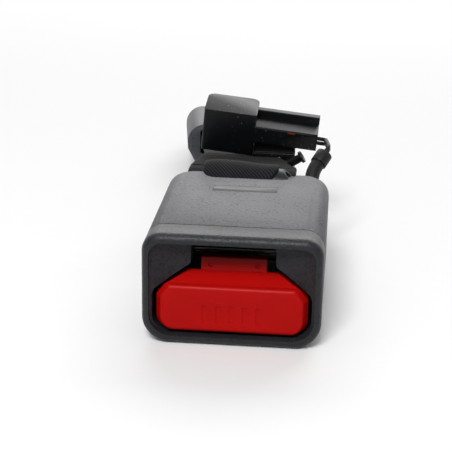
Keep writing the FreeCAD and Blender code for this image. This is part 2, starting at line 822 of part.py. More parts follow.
def make_latch():
    """Latch plate with its hook and ears, the pin it turns on, and its torsion spring."""
    y_hook = front + hook_start
    hook = box(-hook_half_width, hook_half_width, y_hook, y_hook + hook_length, latch_bottom, hook_top)
    latch_top = latch_bottom + latch_steel
    plate = box(-latch_half_width, latch_half_width, y_hook + hook_length - root,
                latch_pin_y - latch_plate_reach, latch_bottom, latch_top)
    latch = plate.fuse(hook)
    hole = rod(latch_pin_radius + pin_clearance, (-20, latch_pin_y, latch_pin_height),
               (20, latch_pin_y, latch_pin_height))
    for side in (-1, 1):
        x0 = min(side * latch_half_width, side * (latch_half_width - latch_ear))
        disc = rod(latch_ear_radius, (x0, latch_pin_y, latch_pin_height),
                   (x0 + latch_ear, latch_pin_y, latch_pin_height))
        arm = box(x0, x0 + latch_ear, latch_pin_y - latch_arm, latch_pin_y, latch_bottom, latch_top)
        latch = latch.fuse(disc).fuse(arm)
    save("latch_plate", latch.cut(hole).removeSplitter())

    reach = frame_half_width + pin_clearance
    pin = rod(latch_pin_radius, (-reach, latch_pin_y, latch_pin_height),
              (reach, latch_pin_y, latch_pin_height))
    for side in (-1, 1):
        pin = pin.fuse(rod(pin_head_radius, (side * reach, latch_pin_y, latch_pin_height),
                           (side * (reach + pin_head), latch_pin_y, latch_pin_height)))
    save("latch_pin", pin.removeSplitter())

    turns = coil(latch_spring_radius, latch_spring_wire, 2 * latch_spring_half + latch_spring_wire,
                 latch_spring_turns)
    turns.rotate(Vector(0, 0, 0), Vector(0, 1, 0), 90)
    turns.translate(Vector(-latch_spring_half - latch_spring_wire / 2, latch_pin_y, latch_pin_height))
    leg_radius = latch_spring_wire / 2
    low_z = latch_pin_height - latch_spring_radius
    low_leg = rod(leg_radius, (-latch_spring_half, latch_pin_y, low_z),
                  (-latch_spring_half, latch_pin_y - latch_spring_leg, low_z))
    save("latch_spring", turns.fuse(low_leg))


def make_lock_bar():
    """Square bar behind the latch, carried by the button's arms in the frame's slots."""
    y0 = front + lock_setback
    reach = arm_inner + arm_thickness - close_gap
    bar = box(-reach, reach, y0, y0 + lock_size, lock_bottom, lock_bottom + lock_size)
    ledge = box(-lock_ledge_half, lock_ledge_half, y0 - lock_ledge, y0 + lock_size,
                lock_bottom, lock_bottom + lock_size)
    save("lock_bar", bar.fuse(ledge).removeSplitter())


def make_ejector():
    """Sprung slider that pushes the tongue out, its magnet and its spring."""
    y0 = front + ejector_front
    y1 = y0 + ejector_bar
    y2 = y1 + ejector_stem
    z1 = ejector_bottom + ejector_thickness
    cross = box(-ejector_half_width, ejector_half_width, y0, y1, ejector_bottom, z1)
    stem = box(-ejector_stem_half, ejector_stem_half, y1 - 1, y2, ejector_bottom, z1)
    middle_z = ejector_bottom + ejector_thickness / 2
    peg_radius = ejector_spring_radius - ejector_spring_wire / 2 - peg_clearance
    peg = rod(peg_radius, (0, y2 - root, middle_z), (0, y2 + peg_length, middle_z))
    ejector = cross.fuse(stem).fuse(peg)
    wing_front = y0 + wing_setback
    wing = box(ejector_half_width - 1, ejector_half_width + ejector_wing, wing_front,
               wing_front + ejector_wing_length, wing_bottom, wing_top)
    for piece in both_sides(wing):
        ejector = ejector.fuse(piece)
    magnet_x = ejector_half_width - magnet_radius - magnet_wall
    magnet_y = y0 + ejector_bar / 2
    seat = rod(magnet_radius + pin_clearance, (magnet_x, magnet_y, ejector_bottom - 1),
               (magnet_x, magnet_y, ejector_bottom + magnet_height))
    save("ejector", ejector.cut(seat).removeSplitter())
    save("ejector_magnet", rod(magnet_radius, (magnet_x, magnet_y, ejector_bottom),
                               (magnet_x, magnet_y, ejector_bottom + magnet_height - pin_clearance)))
    spring_length = stop_tab_y - y2 - 2 * seam_gap
    turns = turns_in(spring_length, ejector_spring_wire, ejector_spring_pitch)
    spring = coil(ejector_spring_radius, ejector_spring_wire, spring_length, turns)
    save("ejector_spring", along_y(spring, 0, y2 + seam_gap, middle_z))


def make_button_springs():
    """One return spring behind each arm of the button."""
    start = front + arm_end + seam_gap
    length = spring_post_y - seam_gap - start
    turns = turns_in(length, button_spring_wire, button_spring_pitch)
    x = arm_inner + arm_thickness / 2
    springs = []
    for side in (-1, 1):
        spring = coil(button_spring_radius, button_spring_wire, length, turns)
        springs.append(along_y(spring, side * x, start, button_spring_height))
    save("button_springs", *springs)


def make_switch():
    """Sealed switch on the right flange and the two rivets that hold it."""
    y0 = switch_y
    x0 = switch_side
    body = box(x0, x0 + switch_width, y0, y0 + switch_length, switch_bottom, switch_bottom + switch_height)
    rivets = []
    for x, y in switch_rivet_places():
        boss = rod(switch_boss_radius, (frame_half_width, y, switch_rivet_height),
                   (x0 + 1, y, switch_rivet_height))
        body = body.fuse(boss)
    for x, y in switch_rivet_places():
        hole = rod(switch_rivet_radius + pin_clearance, (frame_half_width - 1, y, switch_rivet_height),
                   (x0 + rivet_grip + seam_gap, y, switch_rivet_height))
        body = body.cut(hole)
        inner = frame_half_width - frame_steel
        seat = inner - pin_clearance
        shank = rod(switch_rivet_radius, (seat, y, switch_rivet_height),
                    (x0 + rivet_grip, y, switch_rivet_height))
        head = rod(rivet_head_radius, (seat - rivet_head, y, switch_rivet_height),
                   (seat, y, switch_rivet_height))
        rivets.append(shank.fuse(head).removeSplitter())
    save("switch_body", body.removeSplitter())
    save("switch_rivets", *rivets)


def fold_tail_wire(x, radius):
    """Outline at x of the wedge where the two layers leave a roll of the given radius and meet."""
    half = webbing_thickness / 2
    lean = math.acos((radius - half) / fold_tail)
    touch_y = radius * math.cos(lean)
    touch_z = radius * math.sin(lean)
    corners = [(loop_y + touch_y, loop_z - touch_z, 0), (loop_y + fold_tail, loop_z - half, 0),
               (loop_y + fold_tail, loop_z + half, 0), (loop_y + touch_y, loop_z + touch_z, 0)]
    return rounded_wire(corners, at_side(x))


def make_loop():
    """Split plastic sleeve on the cross bar and the webbing fold that wraps it."""
    sleeve = rod(sleeve_radius, (sleeve_left, loop_y, loop_z), (sleeve_right, loop_y, loop_z))
    sleeve = sleeve.cut(rod(sleeve_radius - sleeve_wall, (sleeve_left - 1, loop_y, loop_z),
                            (sleeve_right + 1, loop_y, loop_z)))
    sleeve = sleeve.cut(box(sleeve_left - 1, sleeve_right + 1, loop_y - sleeve_slit / 2,
                            loop_y + sleeve_slit / 2, loop_z - sleeve_radius - 1, loop_z))
    # The right end is cut on a slant, longest at the bottom.
    low_z = loop_z + sleeve_slant_rise
    high_z = loop_z + 2 * sleeve_radius
    lean_x = (high_z - low_z) * math.tan(math.radians(sleeve_slant))
    slant = prism([(sleeve_right, low_z, 0), (sleeve_right + 1, low_z, 0), (sleeve_right + 1, high_z, 0),
                   (sleeve_right - lean_x, high_z, 0)], at_depth(loop_y - 10), (0, 20, 0))
    save("loop_sleeve", sleeve.cut(slant).removeSplitter())

    roll = Part.makeCone(fold_left_radius, fold_right_radius, fold_right - fold_left,
                         Vector(fold_left, loop_y, loop_z), Vector(1, 0, 0))
    ends = [fold_tail_wire(fold_left, fold_left_radius), fold_tail_wire(fold_right, fold_right_radius)]
    roll = roll.fuse(Part.makeLoft(ends, True, True))
    bore = rod(sleeve_radius + close_gap, (fold_left - 1, loop_y, loop_z), (fold_right + 1, loop_y, loop_z))
    save("webbing_fold", roll.cut(bore).removeSplitter())


def strap_point(x, y):
    """Row place of a point given across and along the strap's rear stretch."""
    return strap_place.multVec(Vector(x, y, 0))


def strap_right_edge():
    """Corners of the front stretch's right edge, from the buckle to the flex line."""
    end = strap_point(strap_half_width, -webbing_thickness / 2 - running_gap)
    return [(strap_front_right, strap_line[0][0]), (strap_mid_right, rear + strap_mid_reach), (end.x, end.y)]


def front_strap():
    """Webbing from the fold to the flex line, wide at the buckle and narrower to the rear."""
    end_left = strap_point(-strap_half_width, -webbing_thickness / 2 - running_gap)
    y0 = strap_line[0][0]
    y_mid = rear + strap_mid_reach
    tail_y = loop_y + fold_tail
    plan = [(strap_front_left, y0, 0), (fold_left - running_gap, y0, 0), (fold_left - running_gap, tail_y, 0),
            (fold_right + running_gap, tail_y, 0), (fold_right + running_gap, y0, 0)]
    plan += [(x, y, 0) for x, y in strap_right_edge()]
    plan += [(end_left.x, end_left.y, 0), (strap_mid_left, y_mid, 0)]
    slab = prism(strap_slab(strap_line, webbing_thickness), at_side(-far), (2 * far, 0, 0))
    strap = slab.common(prism(plan, at_height(0), (0, 0, housing_height + 10)))

    # Beside the fold the lower layer comes up from under the sleeve.
    z_top = strap_line[0][1]
    y_low = y0 + webbing_thickness / 2
    y_high = y0 + webbing_thickness
    lip = [(y0, z_top, 0), (y0, z_top - strap_lip, 0), (y_low, z_top - strap_lip, 0),
           (y_high, z_top - root, 0), (y_high, z_top, 0)]
    stretches = ((strap_front_left, fold_left - running_gap), (fold_right + running_gap, strap_front_right))
    for x0, x1 in stretches:
        strap = strap.fuse(prism(lip, at_side(x0), (x1 - x0, 0, 0)))
    return strap


def make_strap():
    """Front and rear stretches of webbing, which bend where they meet at the flex line."""
    save("webbing_front", front_strap().removeSplitter())

    half = webbing_thickness / 2
    slope = math.atan2(flex_z - anchor_height, anchor_reach)
    x0 = -strap_half_width
    width = 2 * strap_half_width
    outer = loop_inner + loop_wall
    tail = fold_tail
    nose = rod(half, (x0, 0, 0), (x0 + width, 0, 0))
    run = math.hypot(anchor_reach, flex_z - anchor_height)
    slab = box(x0, x0 + width, 0, run - tail + root, -half, half)
    roll = rod(outer, (x0, run, 0), (x0 + width, run, 0))
    lean = math.acos((outer - half) / tail)
    touch_y = run - outer * math.cos(lean)
    touch_z = outer * math.sin(lean)
    wedge = prism([(touch_y, -touch_z, 0), (run - tail, -half, 0), (run - tail, half, 0),
                   (touch_y, touch_z, 0)], at_side(x0), (width, 0, 0))
    bore = rod(loop_inner, (x0 - 1, run, 0), (x0 + width + 1, run, 0))
    strap = slab.fuse(nose).fuse(wedge).fuse(roll).cut(bore)
    strap.rotate(Vector(0, 0, 0), Vector(1, 0, 0), -math.degrees(slope))
    strap.translate(Vector(0, 0, flex_z))
    strap.Placement = strap_place.multiply(strap.Placement)
    save("webbing_rear", strap.removeSplitter())


def make_anchor():
    """Steel anchor plate with its cross bar and bolt eye, and the plastic cover round its loop end."""
    z0 = anchor_height - anchor_steel / 2
    bar_front = anchor_reach - anchor_bar / 2
    slot_end = anchor_reach + anchor_bar / 2 + anchor_slot
    eye_y = anchor_reach + anchor_eye_reach
    shoulder = slot_end + anchor_shoulder
    right = [(anchor_half_width, bar_front, anchor_bar_corner),
             (anchor_half_width, shoulder, anchor_shoulder_corner), (anchor_eye_radius, eye_y, 0)]
    plan = right + [(-x, y, radius) for x, y, radius in reversed(right)]
    plate = prism(plan, at_height(z0), (0, 0, anchor_steel))
    plate = plate.fuse(rod(anchor_eye_radius, (0, eye_y, z0), (0, eye_y, z0 + anchor_steel)))
    bar_rear = anchor_reach + anchor_bar / 2
    slot = [(x, y, anchor_slot_corner) for x, y in (
        (-anchor_slot_half, bar_rear), (anchor_slot_half, bar_rear),
        (anchor_slot_half, slot_end), (-anchor_slot_half, slot_end))]
    plate = plate.cut(prism(slot, at_height(z0 - 1), (0, 0, anchor_steel + 2)))
    plate = plate.cut(rod(anchor_bolt_radius, (0, eye_y, z0 - 1), (0, eye_y, z0 + anchor_steel + 1)))
    plate = plate.removeSplitter()
    plate.Placement = strap_place.multiply(plate.Placement)
    save("anchor_plate", plate)

    right = [(cover_base_half, 0, cover_bottom_corner), (cover_half_width, cover_waist, cover_bottom_corner),
             (cover_half_width, cover_height, cover_top_corner)]
    outline = right + [(-x, z, radius) for x, z, radius in reversed(right)]
    y0 = cover_front
    y1 = cover_front + cover_length
    cover = prism(outline, at_depth(y0), (0, cover_length, 0))
    end_edges = [edge for edge in cover.Edges if edge.BoundBox.YLength < 0.01]
    cover = cover.makeChamfer(cover_edge, end_edges)
    inner_half = cover_half_width - cover_wall
    inner_right = [(cover_base_half - cover_wall, cover_wall, 0), (inner_half, cover_waist, 0),
                   (inner_half, cover_height - cover_wall, cover_top_corner - cover_wall)]
    inner = inner_right + [(-x, z, radius) for x, z, radius in reversed(inner_right)]
    cover = cover.cut(prism(inner, at_depth(y0 + cover_wall), (0, cover_length - 2 * cover_wall, 0)))
    mouth_half = strap_half_width + mouth_room
    mouth = [(-mouth_half, mouth_bottom, mouth_corner), (mouth_half, mouth_bottom, mouth_corner),
             (mouth_half, mouth_top, mouth_corner), (-mouth_half, mouth_top, mouth_corner)]
    cover = cover.cut(prism(mouth, at_depth(y0 - 1), (0, cover_wall + 2, 0)))
    taper = (anchor_half_width - anchor_eye_radius) / (eye_y - shoulder)
    slit_half = anchor_eye_radius + taper * (eye_y - y1 + cover_wall) + running_gap
    cover = cover.cut(box(-slit_half, slit_half, y1 - cover_wall - 1, y1 + 1,
                          z0 - close_gap, z0 + anchor_steel + close_gap))
    for x in (-cover_rib_offset, cover_rib_offset):
        cover = cover.fuse(box(x - cover_rib / 2, x + cover_rib / 2, slot_end + 1.0, y1 - cover_wall + root,
                               cover_wall - root, z0 - seam_gap))
    cover = cover.removeSplitter()
    cover.Placement = strap_place.multiply(cover.Placement)
    save("anchor_cover", cover)


def set_on_connector(shape):
    """Moves a shape built square at the origin into the leaning connector's place."""
    shape.Placement = connector_place.multiply(shape.Placement)
    return shape


def connector_shell():
    """Hood open to the left and the slimmer plug body with its rail and ridge, square at the origin."""
    plan = [(0, 0, mould_radius), (hood_length, 0, mould_radius), (hood_length, hood_depth, hood_corner),
            (0, hood_depth, hood_corner)]
    hood = prism(plan, at_height(0), (0, 0, hood_height))
    inner_rear = hood_depth - hood_wall
    inner_top = hood_height - hood_wall
    inner = [(y, z, socket_corner) for y, z in (
        (hood_wall, hood_wall), (inner_rear, hood_wall), (inner_rear, inner_top), (hood_wall, inner_top))]
    socket = prism(inner, at_side(-1), (hood_socket + 1, 0, 0))
    end = hood_length + plug_length
    side = [(0, plug_bottom, mould_radius), (plug_depth, plug_bottom, mould_radius),
            (plug_depth, plug_ridge, mould_radius), (plug_rail_depth, plug_ridge, mould_radius / 2),
            (plug_rail_depth, plug_rail, 0), (0, plug_rail, mould_radius)]
    plug = prism(side, at_side(hood_length - 1), (plug_length + 1, 0, 0))
    shell = hood.cut(socket).fuse(plug)
    for z in wire_heights():
        shell = shell.cut(rod(wire_radius + close_gap, (end - wire_bore, wire_depth, z),
                              (end + 1, wire_depth, z)))
    lock_top = plug_rail - lock_inset
    lock_room = box(lock_tab_start - close_gap, lock_tab_start + lock_tab_length + close_gap, -1,
                    lock_tab_thickness + close_gap, lock_top - lock_tab_height - 2 * close_gap, lock_top)
    return shell.cut(lock_room)


def wire_heights():
    """Heights of the two wires above the connector's base."""
    return (wire_height - wire_spacing, wire_height + wire_spacing)


def make_connector():
    """Connector shell, its orange terminal lock, four blade terminals and two wire seals."""
    save("connector_shell", set_on_connector(connector_shell().removeSplitter()))
    lock_top = plug_rail - lock_inset - close_gap
    lock = box(lock_tab_start, lock_tab_start + lock_tab_length, lock_proud, lock_tab_thickness,
               lock_top - lock_tab_height, lock_top)
    save("connector_lock", set_on_connector(lock))
    blades = []
    for row in (-1, 1):
        for column in (-1, 1):
            y = hood_depth / 2 + column * terminal_pitch / 2
            z = hood_height / 2 + row * terminal_pitch / 2
            half = terminal_width / 2
            blade = box(hood_socket - terminal_length, hood_socket, y - half, y + half, z - half, z + half)
            blades.append(set_on_connector(blade))
    save("connector_terminals", *blades)


def make_clamp():
    """Clamp that grips the strap's right edge and carries the connector and the push clip."""
    y0 = rear + clamp_front
    y1 = rear + clamp_rear
    top_line = [(y, z + webbing_thickness / 2 + clamp_cover) for y, z in strap_line]
    grip = prism([(y0, clamp_bottom, 0), (y1, clamp_bottom, 0), (y1, high, 0),
                  (y0, high, 0)], at_side(clamp_left), (clamp_right - clamp_left, 0, 0))
    above = [(strap_line[0][0], high, 0), (strap_line[-1][0], high, 0)]
    cover_cut = above + [(y, z, 0) for y, z in reversed(top_line)]
    low_part = grip.cut(prism(cover_cut, at_side(-far), (2 * far, 0, 0)))
    middle = [(y, z, 0) for y, z in strap_line]
    bare = prism(middle + [(flex_y, high, 0), (strap_line[0][0], high, 0)], at_side(-far), (2 * far, 0, 0))
    low_part = low_part.cut(bare.common(box(-far, far, strap_line[0][0], rear + clamp_lap, 0, high)))
    pedestal = box(clamp_left, clamp_right, rear + clamp_step, y1, clamp_bottom + clamp_foot, high)
    below_connector = box(-far, high, pedestal_inset, hood_depth - hood_wall, -far, plug_bottom)
    hood_room = box(-far, hood_length + hood_clearance, -far, far, -hood_clearance, far)
    pedestal = pedestal.common(set_on_connector(below_connector))
    clamp = low_part.fuse(pedestal).cut(set_on_connector(hood_room))
    edge = [(x + seam_gap, y, 0) for x, y in strap_right_edge()]
    room = prism(strap_slab(strap_line, webbing_thickness + seam_gap), at_side(-far), (2 * far, 0, 0))
    plan = [(-far, strap_line[0][0], 0)] + edge + [(-far, edge[-1][1], 0)]
    room = room.common(prism(plan, at_height(0), (0, 0, high)))
    save("connector_clamp", clamp.cut(room).removeSplitter())

    start = Vector(clip_base[0], rear + clip_base[1], loop_z + clip_base[2])
    stem = rod(clip_stem_radius, (0, 0, 0), (0, 0, clip_stem))
    clip = stem.fuse(rod(clip_disc_radius, (0, 0, clip_stem), (0, 0, clip_stem + clip_disc)))
    clip.rotate(Vector(0, 0, 0), Vector(0, 1, 0), 90 - clip_tilt)
    clip.translate(start)
    save("push_clip", clip.cut(clamp).cut(room).removeSplitter())


def make_harness():
    """Sleeved lead from the switch to the connector, its grommet, tape and two wires."""
    sleeve = bent_tube(harness_points, harness_radius, "harness_sleeve")
    save("harness_sleeve", sleeve)
    end = Vector(*harness_points[-1])
    along = (end - Vector(*harness_points[-2])).normalize()
    tape_start = end - along * harness_tape_length
    tape = rod(harness_radius + harness_tape_wall, tuple(tape_start), tuple(end))
    tape = tape.cut(rod(harness_radius + pin_clearance, tuple(tape_start - along), tuple(end + along)))
    save("harness_tape", tape)

    x, z = harness_points[1][0], harness_points[1][2]
    neck = rod(grommet_radius, (x, rear - grommet_neck, z), (x, rear + seam_gap + root, z))
    flange = rod(grommet_flange_radius, (x, rear + seam_gap, z), (x, rear + seam_gap + grommet_flange, z))
    bore = rod(harness_radius + pin_clearance, (x, rear - grommet_neck - 1, z),
               (x, rear + grommet_flange + 1, z))
    grommet = neck.fuse(flange).cut(bore)
    save("harness_grommet", grommet.removeSplitter())

    across = along.cross(Vector(1, 0, 0)).normalize()
    plug_end = hood_length + plug_length
    wires = []
    for side, height in zip((1, -1), wire_heights()):
        shift = across * (side * wire_spacing)
        points = [end + shift, end + along * wire_lead + shift]
        points += [Vector(*point) + shift for point in wire_points]
        for reach in (wire_door, -wire_seat):
            points.append(connector_place.multVec(Vector(plug_end + reach, wire_depth, height)))
        wires.append(bent_tube(points, wire_radius, "harness_wire", wire_sides))
    save("harness_wires", *wires)


make_housing()
make_bezel()
make_button()
make_frame()
make_guide()
make_latch()
make_lock_bar()
make_ejector()
make_button_springs()
make_switch()
make_loop()
make_strap()
make_anchor()
make_connector()
make_clamp()
make_harness()
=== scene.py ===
import math

import bmesh
import bpy
from bpy.props import FloatProperty, FloatVectorProperty, IntProperty, PointerProperty
from mathutils import Matrix, Vector, noise


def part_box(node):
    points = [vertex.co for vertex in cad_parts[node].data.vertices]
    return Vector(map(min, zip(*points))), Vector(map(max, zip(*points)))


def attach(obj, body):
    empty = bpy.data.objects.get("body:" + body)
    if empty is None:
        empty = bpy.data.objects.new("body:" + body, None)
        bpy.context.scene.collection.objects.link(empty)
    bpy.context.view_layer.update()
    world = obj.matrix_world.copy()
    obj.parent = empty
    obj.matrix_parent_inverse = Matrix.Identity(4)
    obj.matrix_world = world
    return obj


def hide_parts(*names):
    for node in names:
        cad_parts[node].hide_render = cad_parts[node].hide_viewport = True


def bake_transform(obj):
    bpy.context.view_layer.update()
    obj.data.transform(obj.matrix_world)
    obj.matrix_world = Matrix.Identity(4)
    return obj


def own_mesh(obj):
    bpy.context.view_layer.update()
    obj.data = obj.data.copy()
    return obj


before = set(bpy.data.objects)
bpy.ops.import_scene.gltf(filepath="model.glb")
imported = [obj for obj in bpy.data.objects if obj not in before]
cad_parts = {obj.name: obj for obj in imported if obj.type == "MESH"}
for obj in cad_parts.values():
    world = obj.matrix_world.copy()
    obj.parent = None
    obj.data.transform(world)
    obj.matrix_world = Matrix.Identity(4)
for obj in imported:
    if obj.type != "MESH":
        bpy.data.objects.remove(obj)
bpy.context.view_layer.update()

bl_info = {
    "name": "Seat belt buckle",
    "version": (1, 0, 0),
    "blender": (4, 5, 0),
    "location": "View3D > Sidebar > Buckle",
    "description": "Dresses a seat belt buckle with its webbing stalk, anchor and switch connector",
    "category": "Object",
}

MM = 0.001


def linear(code):
    """Turns an sRGB hex colour into the linear values that the shaders take."""
    channels = [int(code[place:place + 2], 16) / 255 for place in (1, 3, 5)]
    return tuple(c / 12.92 if c <= 0.04045 else ((c + 0.055) / 1.055) ** 2.4 for c in channels)


# Settings that a user would change.

class HousingSettings(bpy.types.PropertyGroup):
    """Finish of the moulded shells and the front bezel."""
    shell_colour: FloatVectorProperty(
        name="Shell colour", description="Moulded ABS of the two shells",
        subtype="COLOR", size=3, min=0, max=1, default=linear("#4f4f53"))
    bezel_colour: FloatVectorProperty(
        name="Bezel colour", description="Moulded ABS of the front bezel",
        subtype="COLOR", size=3, min=0, max=1, default=linear("#242529"))
    edge: FloatProperty(
        name="Edge softness", description="Radius left by the mould on each sharp edge",
        default=0.00035, min=0.0001, max=0.001, unit="LENGTH", precision=5)


class ButtonSettings(bpy.types.PropertyGroup):
    """Finish of the release button."""
    colour: FloatVectorProperty(
        name="Button colour", description="Red polypropylene, coloured right through",
        subtype="COLOR", size=3, min=0, max=1, default=linear("#b80a07"))
    edge: FloatProperty(
        name="Edge softness", description="Radius on the button's sharp edges",
        default=0.0004, min=0.0001, max=0.001, unit="LENGTH", precision=5)


class WebbingSettings(bpy.types.PropertyGroup):
    """Weave of the polyester webbing."""
    colour: FloatVectorProperty(
        name="Webbing colour", description="Charcoal polyester yarn",
        subtype="COLOR", size=3, min=0, max=1, default=linear("#262628"))
    rib: FloatProperty(
        name="Rib spacing", description="Distance between two diagonal ribs of the twill",
        default=0.00085, min=0.0005, max=0.004, unit="LENGTH", precision=5)
    stitch: FloatProperty(
        name="Stitch length", description="Length of one stitch of the sewn block",
        default=0.0026, min=0.001, max=0.006, unit="LENGTH", precision=5)
    rows: IntProperty(
        name="Stitch rows", description="Rows of stitches across the webbing",
        default=5, min=1, max=12)


class StageSettings(bpy.types.PropertyGroup):
    """Floor, lamps and lens."""
    floor_colour: FloatVectorProperty(
        name="Floor colour", description="Pale studio sweep",
        subtype="COLOR", size=3, min=0, max=1, default=linear("#fbfbfb"))
    lens: FloatProperty(
        name="Focal length", description="Focal length on a sensor 36 mm wide",
        default=95.575, min=20, max=300, subtype="DISTANCE_CAMERA")
    glow: FloatProperty(
        name="Studio glow", description="Strength of the even light from the walls",
        default=0.25, min=0, max=2)
    front_glow: FloatProperty(
        name="Viewer's side glow", description="Brightness of the viewer's side in reflections",
        default=0.18, min=0, max=1)


# Help with nodes.

def add(tree, kind, inputs=None, **settings):
    """Adds a node with its settings, and gives its sockets a value or a link."""
    node = tree.nodes.new(kind)
    for name, value in settings.items():
        setattr(node, name, value)
    sockets = {socket.identifier: socket for socket in node.inputs}
    for key, value in (inputs or {}).items():
        socket = sockets[key] if key in sockets else node.inputs[key]
        if isinstance(value, bpy.types.NodeSocket):
            tree.links.new(value, socket)
        else:
            socket.default_value = value
    return node


def new_material(name):
    """The empty node tree of a new material."""
    material = bpy.data.materials.new(name)
    material.use_nodes = True
    material.node_tree.nodes.clear()
    return material.node_tree


def finish_material(tree, inputs, relief=None, depth=0.0, strength=1.0, under=None):
    """Ends a tree with a Principled shader and the output.

    Relief is the height of its bumps, so many millimetres deep, on top of the bumps under them."""
    shader = add(tree, "ShaderNodeBsdfPrincipled", inputs)
    if relief:
        bump = add(tree, "ShaderNodeBump", {
            "Height": relief, "Distance": depth * MM, "Strength": strength})
        tree.links.new(bump.outputs["Normal"], shader.inputs["Normal"])
        if under:
            tree.links.new(under, bump.inputs["Normal"])
    add(tree, "ShaderNodeOutputMaterial", {"Surface": shader.outputs["BSDF"]})


def rgba(colour, share=1.0):
    """A colour with its alpha, made lighter or darker by a share."""
    return tuple(min(1.0, channel * share) for channel in colour) + (1.0,)


def per_mm(size):
    """Texture scale at which one feature is so many millimetres across."""
    return 1000.0 / size


def blotches(tree, place, size, detail, colour, low, high):
    """A colour that drifts between two shares of itself, in blotches so many mm wide, and its noise."""
    cloud = add(tree, "ShaderNodeTexNoise", {"Vector": place, "Scale": per_mm(size), "Detail": detail})
    tone = add(tree, "ShaderNodeMix", {
        "Factor_Float": cloud.outputs["Fac"], "A_Color": rgba(colour, low), "B_Color": rgba(colour, high)},
        data_type="RGBA")
    return tone.outputs[2], cloud.outputs["Fac"]


def streaks(tree, place, squeeze, size, detail):
    """Noise so many mm wide, drawn out along the axes that are squeezed."""
    drawn = add(tree, "ShaderNodeMapping", {"Vector": place, "Scale": squeeze})
    return add(tree, "ShaderNodeTexNoise", {
        "Vector": drawn.outputs["Vector"], "Scale": per_mm(size), "Detail": detail}).outputs["Fac"]


# Materials, each named for what the real one is.

# Speckle: its noise in millimetres, the two values between which a grain shows, and its patches in
# millimetres. Real pits and dust are finer than a pixel, so both are drawn as coarse as they need to be.
PITS = (0.9, 0.59, 0.65, 9.0)
DUST = (0.6, 0.755, 0.79, 16.0)
DUST_COLOUR = linear("#b9b7b4")
PIT_DEPTH = 0.1
# The bezel's lip, paler in fine specks that are partly wear and partly a painted highlight: its colour, and
# the heights in millimetres between which it sets in.
RUBBED_AND_LIT_COLOUR = linear("#8f8e90")
LIP_LOW, LIP_HIGH = 33.5, 35.6


def moulded_plastic(name, colour, roughness, grain, depth, dust=0.0, specks=0.0,
                    lip=0.0, ior=1.36):
    """Injection moulded plastic: spark-eroded grain, faint cloudiness, dust and dark pits."""
    tree = new_material(name)
    place = add(tree, "ShaderNodeTexCoord").outputs["Object"]
    skin, cloud = blotches(tree, place, 14, 4.0, colour, 0.86, 1.14)
    layers = []
    dents = None
    if specks:
        # Dark pits, denser in some patches than in others.
        layers.append((*PITS, specks, rgba(colour, 0.25)))
    if dust:
        # Pale grains of dust, few and small.
        layers.append((*DUST, dust, rgba(DUST_COLOUR)))
    for size, low, high, spread, share, tint in layers:
        grains = add(tree, "ShaderNodeTexNoise", {"Vector": place, "Scale": per_mm(size), "Detail": 1.0})
        patch = add(tree, "ShaderNodeTexNoise", {"Vector": place, "Scale": per_mm(spread)})
        lift = add(tree, "ShaderNodeMapRange", {
            "Value": patch.outputs["Fac"], "From Min": 0.35, "From Max": 0.65,
            "To Min": -0.05, "To Max": 0.05})
        raised = add(tree, "ShaderNodeMath", {0: grains.outputs["Fac"], 1: lift.outputs["Result"]},
                     operation="ADD")
        picked = add(tree, "ShaderNodeMapRange", {
            "Value": raised.outputs[0], "From Min": low, "From Max": high, "To Max": share})
        skin = add(tree, "ShaderNodeMix", {
            "Factor_Float": picked.outputs["Result"], "A_Color": skin, "B_Color": tint},
            data_type="RGBA").outputs[2]
        if dents is None:
            dents = add(tree, "ShaderNodeBump", {
                "Height": picked.outputs["Result"], "Distance": PIT_DEPTH * MM},
                invert=True).outputs["Normal"]
    if lip:
        # The front edge is paler towards its top in fine specks: partly rubbed by handling, partly a
        # painted highlight along the lip's ridge.
        axes = add(tree, "ShaderNodeSeparateXYZ", {"Vector": place})
        raised_edge = add(tree, "ShaderNodeMapRange", {
            "Value": axes.outputs["Z"], "From Min": LIP_LOW * MM, "From Max": LIP_HIGH * MM})
        rub_and_glint = add(tree, "ShaderNodeTexNoise", {"Vector": place, "Scale": per_mm(0.45)})
        spot = add(tree, "ShaderNodeMapRange", {
            "Value": rub_and_glint.outputs["Fac"], "From Min": 0.48, "From Max": 0.7, "To Max": lip})
        worn_and_lit = add(tree, "ShaderNodeMath", {0: raised_edge.outputs["Result"], 1: spot.outputs["Result"]},
                   operation="MULTIPLY")
        skin = add(tree, "ShaderNodeMix", {
            "Factor_Float": worn_and_lit.outputs[0], "A_Color": skin, "B_Color": rgba(RUBBED_AND_LIT_COLOUR)},
            data_type="RGBA").outputs[2]
    grit = add(tree, "ShaderNodeTexNoise", {"Vector": place, "Scale": per_mm(grain)})
    sheen = add(tree, "ShaderNodeMapRange", {
        "Value": cloud, "To Min": roughness - 0.06, "To Max": roughness + 0.06})
    finish_material(tree, {
        "Base Color": skin, "Roughness": sheen.outputs["Result"], "IOR": ior},
        grit.outputs["Fac"], depth, under=dents)


# How much rougher hairline wear makes a glossy plastic, and how far the painted shade darkens its colour.
WEAR, PAINTED_SHADE_SHARE = 0.1, 0.72


